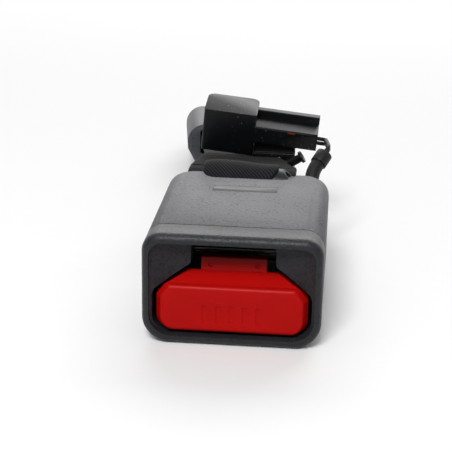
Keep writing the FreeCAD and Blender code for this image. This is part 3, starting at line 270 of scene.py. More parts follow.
def glossy_plastic(name, colour, roughness, ior=1.49, painted_shade=None):
    """Smooth moulded plastic with hairline wear and a faint orange peel.

    Its last argument is the pair of heights in millimetres between which the colour darkens with height:
    painted shade that stands in for the shadow under the bezel's lip."""
    tree = new_material(name)
    place = add(tree, "ShaderNodeTexCoord").outputs["Object"]
    skin = blotches(tree, place, 11, 3.0, colour, 0.92, 1.08)[0]
    hair = streaks(tree, place, (1.0, 1.0, 0.16), 0.9, 5.0)
    scuffed = add(tree, "ShaderNodeMapRange", {
        "Value": hair, "From Min": 0.45, "From Max": 0.75,
        "To Min": roughness, "To Max": roughness + WEAR})
    peel = add(tree, "ShaderNodeTexNoise", {"Vector": place, "Scale": per_mm(2.4), "Detail": 1.0})
    if painted_shade:
        # Painted shade: the colour darkens with height, where the bezel's lip shades the button inside the
        # opening.
        axes = add(tree, "ShaderNodeSeparateXYZ", {"Vector": place})
        deep = add(tree, "ShaderNodeMapRange", {
            "Value": axes.outputs["Z"], "From Min": painted_shade[0] * MM, "From Max": painted_shade[1] * MM,
            "To Max": PAINTED_SHADE_SHARE})
        skin = add(tree, "ShaderNodeMix", {
            "Factor_Float": deep.outputs["Result"], "A_Color": skin, "B_Color": rgba(colour, 0.07)},
            data_type="RGBA").outputs[2]
    finish_material(tree, {
        "Base Color": skin, "Roughness": scuffed.outputs["Result"], "IOR": ior},
        peel.outputs["Fac"], 0.02)


def plated_steel(name, colour, roughness):
    """Pressed steel with zinc plating: blotchy sheen and rolling lines."""
    tree = new_material(name)
    place = add(tree, "ShaderNodeTexCoord").outputs["Object"]
    tone = blotches(tree, place, 5, 4.0, colour, 0.75, 1.15)[0]
    lines = streaks(tree, place, (1.0, 0.05, 1.0), 0.5, 3.0)
    rough = add(tree, "ShaderNodeMapRange", {
        "Value": lines, "From Min": 0.3, "From Max": 0.7,
        "To Min": roughness - 0.1, "To Max": roughness + 0.12})
    finish_material(tree, {
        "Base Color": tone, "Metallic": 1.0, "Roughness": rough.outputs["Result"]},
        lines, 0.01)


# What the twill's darker patches keep of its colour, and the slant of its ribs in degrees.
FADED = (0.62, 0.62, 0.64)
RIB_SLANT = 48


def polyester_twill(name, colour, rib):
    """Belt webbing: diagonal twill ribs, a finer thread across them, and a soft nap.

    Yarn finer than a pixel can't show, so both patterns are drawn as coarse as the photo has them."""
    tree = new_material(name)
    flat = add(tree, "ShaderNodeUVMap", uv_map="weave").outputs["UV"]
    turned = add(tree, "ShaderNodeMapping", {"Vector": flat, "Rotation": (0, 0, math.radians(RIB_SLANT))})
    # One period of the wave is scale x 20 across a unit, so that a rib is as wide as it is told.
    ribs = add(tree, "ShaderNodeTexWave", {
        "Vector": turned.outputs["Vector"], "Scale": math.pi / (10 * rib), "Distortion": 0.35,
        "Detail": 1.0, "Detail Scale": 2.0}, wave_type="BANDS", bands_direction="X")
    threads = add(tree, "ShaderNodeTexWave", {
        "Vector": flat, "Scale": math.pi / (10 * rib * 0.42), "Distortion": 0.5, "Detail": 1.0},
        wave_type="BANDS", bands_direction="X")
    body = add(tree, "ShaderNodeTexNoise", {"Vector": flat, "Scale": per_mm(6), "Detail": 4.0})
    woven = add(tree, "ShaderNodeMath", {0: ribs.outputs["Fac"], 1: 0.72}, operation="MULTIPLY")
    relief = add(tree, "ShaderNodeMath", {
        0: threads.outputs["Fac"], 1: 0.28, 2: woven.outputs[0]}, operation="MULTIPLY_ADD")
    tone = add(tree, "ShaderNodeMix", {
        "Factor_Float": ribs.outputs["Fac"], "A_Color": rgba(colour, 0.3), "B_Color": rgba(colour, 1.6)},
        data_type="RGBA")
    aged = add(tree, "ShaderNodeMix", {
        "Factor_Float": body.outputs["Fac"], "A_Color": rgba(FADED), "B_Color": rgba((1, 1, 1))},
        data_type="RGBA")
    cloth = add(tree, "ShaderNodeMix", {
        "Factor_Float": 1.0, "A_Color": tone.outputs[2], "B_Color": aged.outputs[2]},
        data_type="RGBA", blend_type="MULTIPLY")
    finish_material(tree, {
        "Base Color": cloth.outputs[2], "Roughness": 0.85, "IOR": 1.25, "Sheen Weight": 0.04,
        "Sheen Roughness": 0.5}, relief.outputs[0], 0.08, strength=0.9)


def rubber_skin(name, colour, roughness):
    """Soft vinyl or rubber: matt, faintly creased, with a little dust."""
    tree = new_material(name)
    place = add(tree, "ShaderNodeTexCoord").outputs["Object"]
    tone = blotches(tree, place, 3, 5.0, colour, 0.7, 1.5)[0]
    crease = add(tree, "ShaderNodeTexNoise", {"Vector": place, "Scale": per_mm(1.2), "Detail": 3.0})
    finish_material(tree, {
        "Base Color": tone, "Roughness": roughness, "IOR": 1.4}, crease.outputs["Fac"], 0.05)


# Help with meshes.

def paint(piece, finish):
    """Gives a piece the one material of this name."""
    piece.data.materials.clear()
    piece.data.materials.append(bpy.data.materials[finish])


def link(name, data):
    """Puts a mesh, lamp or camera in the scene under a name."""
    thing = bpy.data.objects.new(name, data)
    bpy.context.scene.collection.objects.link(thing)
    return thing


def piece_of(name, bm):
    """Puts a finished bmesh in the scene under a name."""
    mesh = bpy.data.meshes.new(name)
    bm.to_mesh(mesh)
    bm.free()
    return link(name, mesh)


def bake(piece):
    """Applies every live modifier, so that the piece is a plain mesh."""
    bpy.context.view_layer.update()
    graph = bpy.context.evaluated_depsgraph_get()
    mesh = bpy.data.meshes.new_from_object(piece.evaluated_get(graph))
    piece.modifiers.clear()
    piece.data = mesh
    return piece


def soften(piece, width, segments=2):
    """Rounds the sharp edges as a mould or a press leaves them, and smooths the rest."""
    bevel = piece.modifiers.new("edges", "BEVEL")
    bevel.width = width
    bevel.segments = segments
    bevel.limit_method = "ANGLE"
    bevel.angle_limit = math.radians(32)
    bevel.use_clamp_overlap = True
    bevel.harden_normals = True
    bake(piece)
    for polygon in piece.data.polygons:
        polygon.use_smooth = True
    return piece


def round_edges(bm, width, segments, chosen):
    """Rounds the sharp edges whose middle, in millimetres, passes a test."""
    edges = [edge for edge in bm.edges
             if len(edge.link_faces) == 2 and edge.calc_face_angle(0) > math.radians(20)
             and chosen((edge.verts[0].co + edge.verts[1].co) / (2 * MM))]
    bmesh.ops.bevel(bm, geom=edges, offset=width, segments=segments, profile=0.5, affect="EDGES",
                    clamp_overlap=True)


def moulded_copy(name, node, width, wide=None):
    """A softened mesh of a CAD node, ready to take its place.

    Wide is a radius, its segments and a test that picks the edges that get it first."""
    bm = bmesh.new()
    bm.from_mesh(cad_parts[node].data)
    bmesh.ops.remove_doubles(bm, verts=bm.verts, dist=1e-6)
    bmesh.ops.dissolve_limit(bm, angle_limit=math.radians(0.4), verts=bm.verts, edges=bm.edges,
                             delimit={"NORMAL"})
    bmesh.ops.dissolve_degenerate(bm, dist=1e-6, edges=bm.edges)
    if wide:
        round_edges(bm, *wide)
    piece = piece_of(name, bm)
    for polygon in piece.data.polygons:
        polygon.use_smooth = True
    return soften(piece, width)


def seat(piece, finish, body, slot, *nodes):
    """Finishes a piece: its material, the body that it rides and the nodes it stands for. The slot is not
    used.
    """
    paint(piece, finish)
    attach(piece, body)
    if nodes:
        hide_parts(*nodes)


def seat_parts(parts):
    """Makes pieces that need soft edges only: node, material, body, slot and edge in millimetres."""
    for node, finish, body, slot, edge in parts:
        piece = moulded_copy(node + "_part", node, edge * MM)
        seat(piece, finish, body, slot, node)


# Geometry trees for what repeats.

def geometry_tree(name, inputs):
    """An empty geometry tree with named inputs, each with the kind of its socket."""
    tree = bpy.data.node_groups.new(name, "GeometryNodeTree")
    for label, kind in inputs.items():
        tree.interface.new_socket(label, in_out="INPUT", socket_type="NodeSocket" + kind)
    tree.interface.new_socket("Geometry", in_out="OUTPUT", socket_type="NodeSocketGeometry")
    return tree, add(tree, "NodeGroupInput").outputs, add(tree, "NodeGroupOutput")


def finish_tree(tree, output, mesh):
    """Ends a tree with real geometry and smooth shading, and gives it back."""
    real = add(tree, "GeometryNodeRealizeInstances", {"Geometry": mesh})
    smooth = add(tree, "GeometryNodeSetShadeSmooth", {"Geometry": real.outputs[0]})
    tree.links.new(smooth.outputs[0], output.inputs["Geometry"])
    return tree


def spring_tree():
    """Coil springs of round wire, a number of them side by side."""
    tree, given, output = geometry_tree("coil springs", {
        "Turns": "Float", "Radius": "Float", "Rise": "Float", "Wire radius": "Float",
        "First place": "Vector", "Apart": "Vector", "Count": "Int", "Turned": "Vector"})
    helix = add(tree, "GeometryNodeCurveSpiral", {
        "Resolution": 28, "Rotations": given["Turns"], "Start Radius": given["Radius"],
        "End Radius": given["Radius"], "Height": given["Rise"]})
    ring = add(tree, "GeometryNodeCurvePrimitiveCircle", {"Resolution": 10, "Radius": given["Wire radius"]},
               mode="RADIUS")
    wire = add(tree, "GeometryNodeCurveToMesh", {
        "Curve": helix.outputs[0], "Profile Curve": ring.outputs["Curve"], "Fill Caps": True})
    turned = add(tree, "GeometryNodeTransform", {"Geometry": wire.outputs[0], "Rotation": given["Turned"]})
    places = add(tree, "GeometryNodeMeshLine", {
        "Count": given["Count"], "Start Location": given["First place"], "Offset": given["Apart"]},
        mode="OFFSET")
    springs = add(tree, "GeometryNodeInstanceOnPoints", {
        "Points": places.outputs[0], "Instance": turned.outputs[0]})
    return finish_tree(tree, output, springs.outputs[0])


def stitch_tree():
    """Rows of stitches on both faces of webbing, each stitch set a little askew."""
    tree, given, output = geometry_tree("sewn rows", {
        "Rows": "Int", "Width": "Float", "Stitches": "Int", "Length": "Float",
        "Stitch size": "Vector", "Through": "Vector", "Place": "Vector", "Turned": "Vector",
        "Seed": "Int"})
    grid = add(tree, "GeometryNodeMeshGrid", {
        "Size X": given["Width"], "Size Y": given["Length"], "Vertices X": given["Rows"],
        "Vertices Y": given["Stitches"]})
    bead = add(tree, "GeometryNodeMeshUVSphere", {"Segments": 8, "Rings": 6, "Radius": 1.0})
    stitch = add(tree, "GeometryNodeTransform", {
        "Geometry": bead.outputs["Mesh"], "Scale": given["Stitch size"]})
    askew = add(tree, "FunctionNodeRandomValue", {
        "Min": (0.0, 0.0, -0.09), "Max": (0.0, 0.0, 0.09), "Seed": given["Seed"]},
        data_type="FLOAT_VECTOR")
    rows = add(tree, "GeometryNodeInstanceOnPoints", {
        "Points": grid.outputs["Mesh"], "Instance": stitch.outputs[0], "Rotation": askew.outputs[0]})
    under = add(tree, "GeometryNodeTransform", {
        "Geometry": rows.outputs[0], "Translation": given["Through"]})
    both = add(tree, "GeometryNodeJoinGeometry", {"Geometry": rows.outputs[0]})
    tree.links.new(under.outputs[0], both.inputs[0])
    laid = add(tree, "GeometryNodeTransform", {
        "Geometry": both.outputs[0], "Translation": given["Place"], "Rotation": given["Turned"]})
    return finish_tree(tree, output, laid.outputs[0])


def grown(name, tree, values):
    """The plain mesh that a geometry tree makes from these values."""
    piece = link(name, bpy.data.meshes.new(name))
    growth = piece.modifiers.new("growth", "NODES")
    growth.node_group = tree
    for socket in tree.interface.items_tree:
        if socket.in_out == "INPUT":
            growth[socket.identifier] = values[socket.name]
    return bake(piece)


# Operators, one for each group of pieces.

# Finishes that are asked for by name in more than one place.
TWILL, THREAD, WIRE = "Polyester twill webbing", "Bonded polyester thread", "Spring wire"


class BUCKLE_OT_finishes(bpy.types.Operator):
    """Makes every material of the buckle"""
    bl_idname = "buckle.finishes"
    bl_label = "Finishes"

    def execute(self, context):
        scene = context.scene
        housing = scene.buckle_housing
        # Spark-eroded ABS is satin grey, pitted and dusty. The bezel's is darker, and its lip has pale
        # specks, partly wear and partly painted highlight.
        moulded_plastic("Moulded ABS shell", tuple(housing.shell_colour), 0.48, 0.8, 0.09,
                        dust=0.3, specks=0.75)
        moulded_plastic("Moulded ABS bezel", tuple(housing.bezel_colour), 0.44, 0.8, 0.08,
                        specks=0.6, lip=0.14)
        # The label is paler and smoother than the shell that it lies in.
        moulded_plastic("Blank polyester label", linear("#6c6b69"), 0.45, 0.9, 0.01, specks=0.3)
        # The button is a deep red with a soft gloss, and darkened higher up inside the opening by painted
        # shade.
        glossy_plastic("Red polypropylene", tuple(scene.buckle_button.colour), 0.42, ior=1.24,
                       painted_shade=(20.2, 25.2))
        # The webbing is charcoal with slanting ribs and hardly any gloss, and its thread is paler.
        polyester_twill(TWILL, tuple(scene.buckle_webbing.colour), scene.buckle_webbing.rib)
        glossy_plastic(THREAD, linear("#3b3b3e"), 0.55)
        # Nylon and acetal are nearly black with a broad sheen. The cover is a plain, even grey.
        moulded_plastic("Nylon connector black", linear("#0e0f11"), 0.36, 0.8, 0.015, dust=0.3,
                        ior=1.27)
        moulded_plastic("Polypropylene cover grey", linear("#434448"), 0.42, 0.7, 0.03, specks=0.3)
        moulded_plastic("Acetal slider black", linear("#1b1b1d"), 0.35, 0.9, 0.02)
        glossy_plastic("Polypropylene sleeve grey", linear("#26282c"), 0.35, ior=1.35)
        glossy_plastic("Orange nylon lock", linear("#6e2a17"), 0.5, ior=1.3)
        # Zinc is bright and blotchy, phosphate dull and dark, spring wire drawn smooth, and tin pale.
        plated_steel("Zinc plated steel", linear("#b4b2ab"), 0.36)
        plated_steel("Black phosphate steel", linear("#454443"), 0.46)
        plated_steel(WIRE, linear("#9a9894"), 0.3)
        plated_steel("Tinned brass", linear("#cfc9b4"), 0.28)
        # Vinyl and rubber are black and matt, with faint creases.
        rubber_skin("Black vinyl", linear("#0c0c0e"), 0.55)
        rubber_skin("Black rubber", linear("#0e0e0f"), 0.6)
        return {"FINISHED"}


# The floor in metres: its half width, how far it lies under the part, the distances between which it
# turns white, and the share of its light that it throws back.
FLOOR_HALF, FLOOR_DROP = 3.0, 0.0002
WHITE_FROM, WHITE_FULL, BOUNCE = 0.3, 0.9, 0.35
# The camera's place in metres, and its yaw, pitch and roll in degrees.
CAMERA_PLACE = (0.02782, -0.37904, 0.15502)
CAMERA_TURN = (-4.985, 18.618, 1.033)
# Soft panels: place, what they face, size and watts.
LAMPS = (("rear panel", (0.1, 1.35, 0.95), (0, 0.05, 0.02), (1.8, 1.1), 17.0),
         ("front panel", (-0.15, -1.0, 1.02), (0, 0, 0.02), (0.5, 0.5), 16.0))


def ray_is(tree, path, *kinds):
    """One for a ray of any of these kinds, and zero for the others."""
    found = path.outputs[kinds[0]]
    for kind in kinds[1:]:
        found = add(tree, "ShaderNodeMath", {0: found, 1: path.outputs[kind]},
                    operation="MAXIMUM").outputs[0]
    return found


def make_floor(settings):
    """A wide sweep of matt paper, shown at its full white to the camera and in reflections."""
    mesh = bpy.data.meshes.new("floor")
    half = FLOOR_HALF
    mesh.from_pydata([(-half, -half, 0), (half, -half, 0), (half, half, 0), (-half, half, 0)],
                     [], [(0, 1, 2, 3)])
    floor = link("floor", mesh)
    floor.location.z = -FLOOR_DROP
    tree = new_material("Pale studio paper")
    place = add(tree, "ShaderNodeTexCoord").outputs["Object"]
    colour = tuple(settings.floor_colour)
    tone = blotches(tree, place, 4, 3.0, colour, 0.985, 1.0)[0]
    # The paper stays white to the eye and in gloss, and throws back less light than it would.
    path = add(tree, "ShaderNodeLightPath")
    seen = ray_is(tree, path, "Is Camera Ray", "Is Glossy Ray", "Is Transmission Ray")
    shown = add(tree, "ShaderNodeMix", {
        "Factor_Float": seen, "A_Color": rgba(colour, BOUNCE), "B_Color": tone}, data_type="RGBA")
    # Far from the object the paper is as white as the wall, wherever it is looked at from.
    reach = add(tree, "ShaderNodeVectorMath", {0: place}, operation="LENGTH")
    far_off = add(tree, "ShaderNodeMapRange", {
        "Value": reach.outputs["Value"], "From Min": WHITE_FROM, "From Max": WHITE_FULL},
        interpolation_type="SMOOTHSTEP")
    white = add(tree, "ShaderNodeMath", {0: far_off.outputs["Result"], 1: seen}, operation="MULTIPLY")
    paper = add(tree, "ShaderNodeMix", {
        "Factor_Float": white.outputs[0], "A_Color": shown.outputs[2], "B_Color": rgba(colour, 0.0)},
        data_type="RGBA")
    finish_material(tree, {
        "Base Color": paper.outputs[2], "Roughness": 0.9, "Specular IOR Level": 0.0,
        "Emission Color": (1.0, 1.0, 1.0, 1.0), "Emission Strength": white.outputs[0]})
    paint(floor, "Pale studio paper")


def make_lamps():
    """The two soft panels."""
    for name, place, aim, size, power in LAMPS:
        lamp = bpy.data.lights.new(name, "AREA")
        lamp.shape = "RECTANGLE"
        lamp.size, lamp.size_y = size
        lamp.energy = power
        thing = link(name, lamp)
        thing.location = place
        thing.rotation_euler = (Vector(aim) - Vector(place)).to_track_quat("-Z", "Y").to_euler()
        thing.visible_camera = False


def make_world(settings):
    """A studio that is white behind the object and above it, and dimmer on the viewer's side."""
    world = bpy.data.worlds.new("white studio")
    world.use_nodes = True
    tree = world.node_tree
    tree.nodes.clear()
    heading = add(tree, "ShaderNodeTexCoord").outputs["Generated"]
    axes = add(tree, "ShaderNodeSeparateXYZ", {"Vector": heading})
    depth = add(tree, "ShaderNodeMapRange", {
        "Value": axes.outputs["Y"], "From Min": -0.35, "From Max": 0.3,
        "To Min": settings.front_glow, "To Max": 1.0}, interpolation_type="SMOOTHSTEP")
    path = add(tree, "ShaderNodeLightPath")
    mirrored = ray_is(tree, path, "Is Glossy Ray", "Is Transmission Ray")
    even = add(tree, "ShaderNodeMix", {
        "Factor_Float": mirrored, "A_Float": settings.glow, "B_Float": depth.outputs["Result"]},
        data_type="FLOAT")
    seen = add(tree, "ShaderNodeMix", {
        "Factor_Float": path.outputs["Is Camera Ray"], "A_Float": even.outputs[0], "B_Float": 1.0},
        data_type="FLOAT")
    sky = add(tree, "ShaderNodeBackground", {"Color": (1, 1, 1, 1), "Strength": seen.outputs[0]})
    add(tree, "ShaderNodeOutputWorld", {"Surface": sky.outputs[0]})
    bpy.context.scene.world = world


def make_camera(lens):
    """The camera that took the photo, as fitted to its edges."""
    camera = bpy.data.cameras.new("camera")
    camera.sensor_width = 36
    camera.sensor_fit = "HORIZONTAL"
    camera.lens = lens
    camera.dof.use_dof = False
    viewer = link("camera", camera)
    yaw, pitch, roll = (math.radians(angle) for angle in CAMERA_TURN)
    viewer.matrix_world = (Matrix.Translation(CAMERA_PLACE) @ Matrix.Rotation(-yaw, 4, "Z")
                           @ Matrix.Rotation(math.radians(90) - pitch, 4, "X")
                           @ Matrix.Rotation(roll, 4, "Z"))
    bpy.context.scene.camera = viewer


class BUCKLE_OT_stage(bpy.types.Operator):
    """Makes the pale floor, the soft lamps, the world and the camera"""
    bl_idname = "buckle.stage"
    bl_label = "Stage"

    def execute(self, context):
        settings = context.scene.buckle_stage
        make_floor(settings)
        make_lamps()
        make_world(settings)
        make_camera(settings.lens)
        context.scene.view_settings.view_transform = "Standard"
        return {"FINISHED"}


# The bare label in the upper shell's recess, in millimetres.
LABEL_MIDDLE = Vector((0.0, 13.3, 35.87))
LABEL_SIZE = Vector((21.8, 6.4, 0.22))


class BUCKLE_OT_housing(bpy.types.Operator):
    """Makes the upper and lower shells with their soft moulded edges"""
    bl_idname = "buckle.housing"
    bl_label = "Housing shells"

    def execute(self, context):
        edge = context.scene.buckle_housing.edge
        for node in ("housing_upper", "housing_lower"):
            piece = moulded_copy(node + "_moulding", node, edge)
            seat(piece, "Moulded ABS shell", "root", "housing_plastic", node)

        # A bare label lies in the shallow recess of the upper shell.
        bm = bmesh.new()
        bmesh.ops.create_cube(bm, size=1.0, matrix=Matrix.Translation(LABEL_MIDDLE * MM)
                              @ Matrix.Diagonal((*(LABEL_SIZE * MM), 1)))
        upright = [edge for edge in bm.edges if abs(edge.verts[0].co.z - edge.verts[1].co.z) > 1e-5]
        bmesh.ops.bevel(bm, geom=upright, offset=0.3 * MM, segments=5, profile=0.5, affect="EDGES")
        label = soften(piece_of("blank_label", bm), 0.04 * MM, segments=1)
        seat(label, "Blank polyester label", "root", "housing_plastic")
        return {"FINISHED"}


class BUCKLE_OT_bezel(bpy.types.Operator):
    """Makes the front bezel with its rounded lip and the funnel for the tongue"""
    bl_idname = "buckle.bezel"
    bl_label = "Front bezel"

    def execute(self, context):
        # The cheeks' inner edges are the ones that the tongue rubs, and they are well rounded.
        piece = moulded_copy("bezel_moulding", "front_bezel", context.scene.buckle_housing.edge,
                             wide=(0.6 * MM, 4, lambda middle: abs(middle.x) < 26
                                   and 14 < middle.z < 33 and -36.5 < middle.y < -18))
        seat(piece, "Moulded ABS bezel", "root", "bezel_plastic", "front_bezel")
        return {"FINISHED"}


class BUCKLE_OT_button(bpy.types.Operator):
    """Makes the red release button"""
    bl_idname = "buckle.button"
    bl_label = "Release button"

    def execute(self, context):
        # The cap's outline is well rounded, while its touch bars and arms keep finer edges.
        piece = moulded_copy("button_moulding", "release_button", context.scene.buckle_button.edge,
                             wide=(1.5 * MM, 5, lambda middle: middle.y < -24
                                   and (abs(middle.x) > 12 or middle.z > 17.5)))
        seat(piece, "Red polypropylene", "button", "button_plastic", "release_button")
        return {"FINISHED"}


class BUCKLE_OT_mechanism(bpy.types.Operator):
    """Makes the frame, latch, lock, ejector and switch inside the housing"""
    bl_idname = "buckle.mechanism"
    bl_label = "Mechanism"

    def execute(self, context):
        seat_parts((
            ("base_frame", "Black phosphate steel", "root", "frame_steel", 0.2),
            ("latch_plate", "Zinc plated steel", "latch", "frame_steel", 0.2),
            ("latch_pin", "Zinc plated steel", "root", "frame_steel", 0.2),
            ("lock_bar", "Zinc plated steel", "lock", "frame_steel", 0.2),
            ("tongue_guide", "Acetal slider black", "root", "guide_plastic", 0.2),
            ("ejector", "Acetal slider black", "ejector", "guide_plastic", 0.2),
            ("ejector_magnet", "Zinc plated steel", "ejector", "magnet_metal", 0.2),
            ("switch_body", "Nylon connector black", "root", "connector_plastic", 0.2),
            ("switch_rivets", "Zinc plated steel", "root", "frame_steel", 0.2)))
        return {"FINISHED"}


# Springs that run along the row, with their coil's and wire's radius in millimetres and their turns.
SPRINGS = (("button_springs", "button_slide", 2, 2.2, 0.4, 4),
           ("ejector_spring", "ejector_slide", 1, 1.15, 0.25, 5))
# The latch spring's two radii and its turns.
LATCH_COIL, LATCH_WIRE, LATCH_TURNS = 2.3, 0.45, 3


class BUCKLE_OT_springs(bpy.types.Operator):
    """Makes the coil springs"""
    bl_idname = "buckle.springs"
    bl_label = "Springs"

    def execute(self, context):
        tree = spring_tree()
        for node, joint, count, coil, wire, turns in SPRINGS:
            low, high = (Vector(corner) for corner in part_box(node))
            outer = (coil + wire) * MM
            piece = grown(node + "_wire", tree, {
                "Turns": float(turns), "Radius": coil * MM, "Rise": high.y - low.y - 2 * wire * MM,
                "Wire radius": wire * MM,
                "First place": Vector((low.x + outer, low.y + wire * MM, (low.z + high.z) / 2)),
                "Apart": Vector((high.x - low.x - 2 * outer, 0, 0)), "Count": count,
                "Turned": (math.radians(-90), 0.0, 0.0)})
            seat(piece, WIRE, "root", "spring_steel", node)
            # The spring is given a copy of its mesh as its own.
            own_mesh(piece)

        # The latch spring is wound round the pivot, and its straight leg presses forward.
        low, high = (Vector(corner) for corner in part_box("latch_spring"))
        coil, wire = LATCH_COIL * MM, LATCH_WIRE * MM
        middle = Vector((0, high.y - coil - wire, (low.z + high.z) / 2))
        rise = high.x - low.x - 2 * wire
        piece = grown("latch_spring_wire", tree, {
            "Turns": float(LATCH_TURNS), "Radius": coil, "Rise": rise, "Wire radius": wire,
            "First place": middle - Vector((rise / 2, 0, 0)), "Apart": Vector((0, 0, 0)), "Count": 1,
            "Turned": (0.0, math.radians(90), 0.0)})
        bm = bmesh.new()
        bm.from_mesh(piece.data)
        leg_front = Vector((low.x + wire, low.y, middle.z - coil))
        leg_middle = Vector((leg_front.x, (leg_front.y + middle.y) / 2, leg_front.z))
        bmesh.ops.create_cone(bm, cap_ends=True, segments=10, radius1=wire, radius2=wire,
                              depth=middle.y - leg_front.y,
                              matrix=Matrix.Translation(leg_middle)
                              @ Matrix.Rotation(math.radians(90), 4, "X"))
        bm.to_mesh(piece.data)
        bm.free()
        seat(piece, WIRE, "root", "spring_steel", "latch_spring")
        return {"FINISHED"}


def through(points, steps):
    """Points on a smooth line through the given ones."""
    out = []
    for index in range(len(points) - 1):
        before = points[max(index - 1, 0)]
        start = points[index]
        end = points[index + 1]
        after = points[min(index + 2, len(points) - 1)]
        for step in range(steps):
            t = step / steps
            out.append(0.5 * (2 * start + (end - before) * t
                              + (2 * before - 5 * start + 4 * end - after) * t * t
                              + (3 * start - before - 3 * end + after) * t * t * t))
    out.append(points[-1].copy())
    return out


# How quickly the webbing's waviness changes, per metre, and the steps round a bar and along each end.
WAVES = 110
ARC_STEPS, TAIL_STEPS = 28, 6


def woven_face(bm, weave, corners):
    """A face of webbing whose corners are each a vertex and its place in the weave map."""
    face = bm.faces.new([vert for vert, _ in corners])
    for loop, (_, place) in zip(face.loops, corners):
        loop[weave].uv = place
    return face


def ribbon(bm, stations, thickness, columns, wrinkle=0.0, seed=0.0):
    """Adds webbing laid along stations of (left end, right end, outward normal) to a mesh.

    The selvedges are round, and the weave map holds metres across and along the webbing. Round a
    selvedge it goes on by three half thicknesses, close to the length of that arc."""
    weave = bm.loops.layers.uv.verify()
    half = thickness / 2
    rows = []
    travel = 0.0
    before = None
    for left, right, normal in stations:
        middle = (left + right) / 2
        travel += (middle - before).length if before is not None else 0.0
        before = middle
        side = (right - left).normalized()
        core_left = left + side * half
        core_width = (right - left).length - 2 * half
        ring = []
        for face in (1, -1):
            for step in range(columns + 1):
                across = core_width * (step / columns if face > 0 else 1 - step / columns)
                ring.append((core_left + side * across + normal * (half * face),
                             across if face > 0 else across + 3 * half))
            reach = core_width if face > 0 else 0.0
            for turn in (45, 90, 135):
                angle = math.radians(90 - turn)
                ring.append((core_left + side * (reach + face * half * math.cos(angle))
                             + normal * (face * half * math.sin(angle)),
                             reach + half * (turn if face > 0 else turn - 180) / 60))
        verts = []
        for point, u in ring:
            shift = wrinkle * noise.noise(point * WAVES + Vector((0, 0, seed)))
            verts.append((bm.verts.new(point + normal * shift), (u, travel)))
        rows.append(verts)
    count = len(rows[0])
    for first, second in zip(rows, rows[1:]):
        for index in range(count):
            after = (index + 1) % count
            woven_face(bm, weave, (first[index], first[after], second[after], second[index])).smooth = True
    for row in (rows[0], rows[-1]):
        woven_face(bm, weave, row)


def cloth_piece(name, bm):
    """Turns a webbing mesh into an object whose weave map is named."""
    bmesh.ops.recalc_face_normals(bm, faces=bm.faces)
    piece = piece_of(name, bm)
    piece.data.uv_layers[0].name = "weave"
    return piece


def wrap_profile(radius, tail, offset):
    """(along, up, normal) points of webbing that comes in above, goes round a bar and leaves below."""
    touch = math.acos(radius / math.hypot(tail, offset)) + math.atan2(offset, tail)
    corner = (radius * math.cos(touch), radius * math.sin(touch))
    incoming = []
    for step in range(TAIL_STEPS):
        share = step / TAIL_STEPS
        incoming.append((tail + (corner[0] - tail) * share, offset + (corner[1] - offset) * share, touch))
    out = list(incoming)
    for step in range(ARC_STEPS + 1):
        angle = touch + (2 * math.pi - 2 * touch) * step / ARC_STEPS
        out.append((radius * math.cos(angle), radius * math.sin(angle), angle))
    return out + [(along, -up, -touch) for along, up, _ in reversed(incoming)]


def laid(left, right, facing=1):
    """Stations of webbing between its two edges, each a line of points in millimetres."""
    stations = []
    for index, (one, other) in enumerate(zip(left, right)):
        ahead = min(index + 1, len(left) - 1)
        behind = max(index - 1, 0)
        run = left[ahead] + right[ahead] - left[behind] - right[behind]
        stations.append((one * MM, other * MM, (other - one).cross(run).normalized() * facing))
    return stations


# Where the webbing lies, in millimetres, as the solids have it.
BAR_Y, BAR_Z = 42.0, 30.85
FOLD_LEFT, FOLD_RIGHT = -17.3, 7.8
FLEX = Vector((-8.2, 92.0, 26.2))
YAW = math.radians(8.0)
ANCHOR_REACH, ANCHOR_Z = 70.0, 15.0
STRAP_HALF = 14.0
SLOPE = (FLEX.z - ANCHOR_Z) / ANCHOR_REACH
# How thick it is drawn at the wrap, in the strap, beside the wrap and at the anchor.
WRAP_THICK, STRAP_THICK, CURL_THICK, LOOP_THICK = 1.3, 2.8, 2.6, 1.4
# The wraps' radius, the reach of their ends and half the gap there.
LEFT_WRAP, RIGHT_WRAP, ANCHOR_WRAP = (6.2, 12.0, 0.75), (5.35, 12.0, 0.75), (5.6, 13.5, 0.7)
# The part of the wrap that is shaped, what its left end and its top lose and gain, and the slant of
# its right end with the height where that starts and the height that it takes.
SHAPED, PINCH, SWELL = 10.5, 0.1, 0.09
SLANT, SLANT_FROM, SLANT_OVER = 2.6, 33.4, 3.0
# The strap's two edges from the buckle to the flex line, and how far behind that line they go on.
STRAP_LEFT = ((-24.1, 54.5, 31.0), (-23.5, 62, 30.7), (-22.6, 71.5, 29.9), (-22.3, 82, 28.2))
STRAP_RIGHT = ((15.2, 54.5, 31.0), (13.9, 62, 30.6), (11.6, 70.5, 29.7), (8.2, 82, 28.0))
BEHIND_FLEX = (4, 20, 40, 58)
# The layer beside the wrap: its outer ends, its gap to the wrap, and its depths and heights.
CURL_ENDS, CURL_GAP = (-24.3, 16.2), 0.4
CURL = ((57.5, 30.85), (54, 31.0), (51, 31.0), (49.2, 30.2), (48.4, 28.2), (48.3, 25.2))
# The sewn block: its place behind the flex line, its width, stitches in a row, and a stitch's half
# width and half height.
BLOCK_REACH, BLOCK_WIDTH, STITCHES, STITCH_WIDE, STITCH_HIGH = 32, 20, 9, 0.45, 0.3


def rear_point(across, along, up):
    """Row place in metres of a point of the rear stretch, across and along it from the flex line."""
    return Vector((FLEX.x + across * math.cos(YAW) - along * math.sin(YAW),
                   FLEX.y + across * math.sin(YAW) + along * math.cos(YAW), up)) * MM


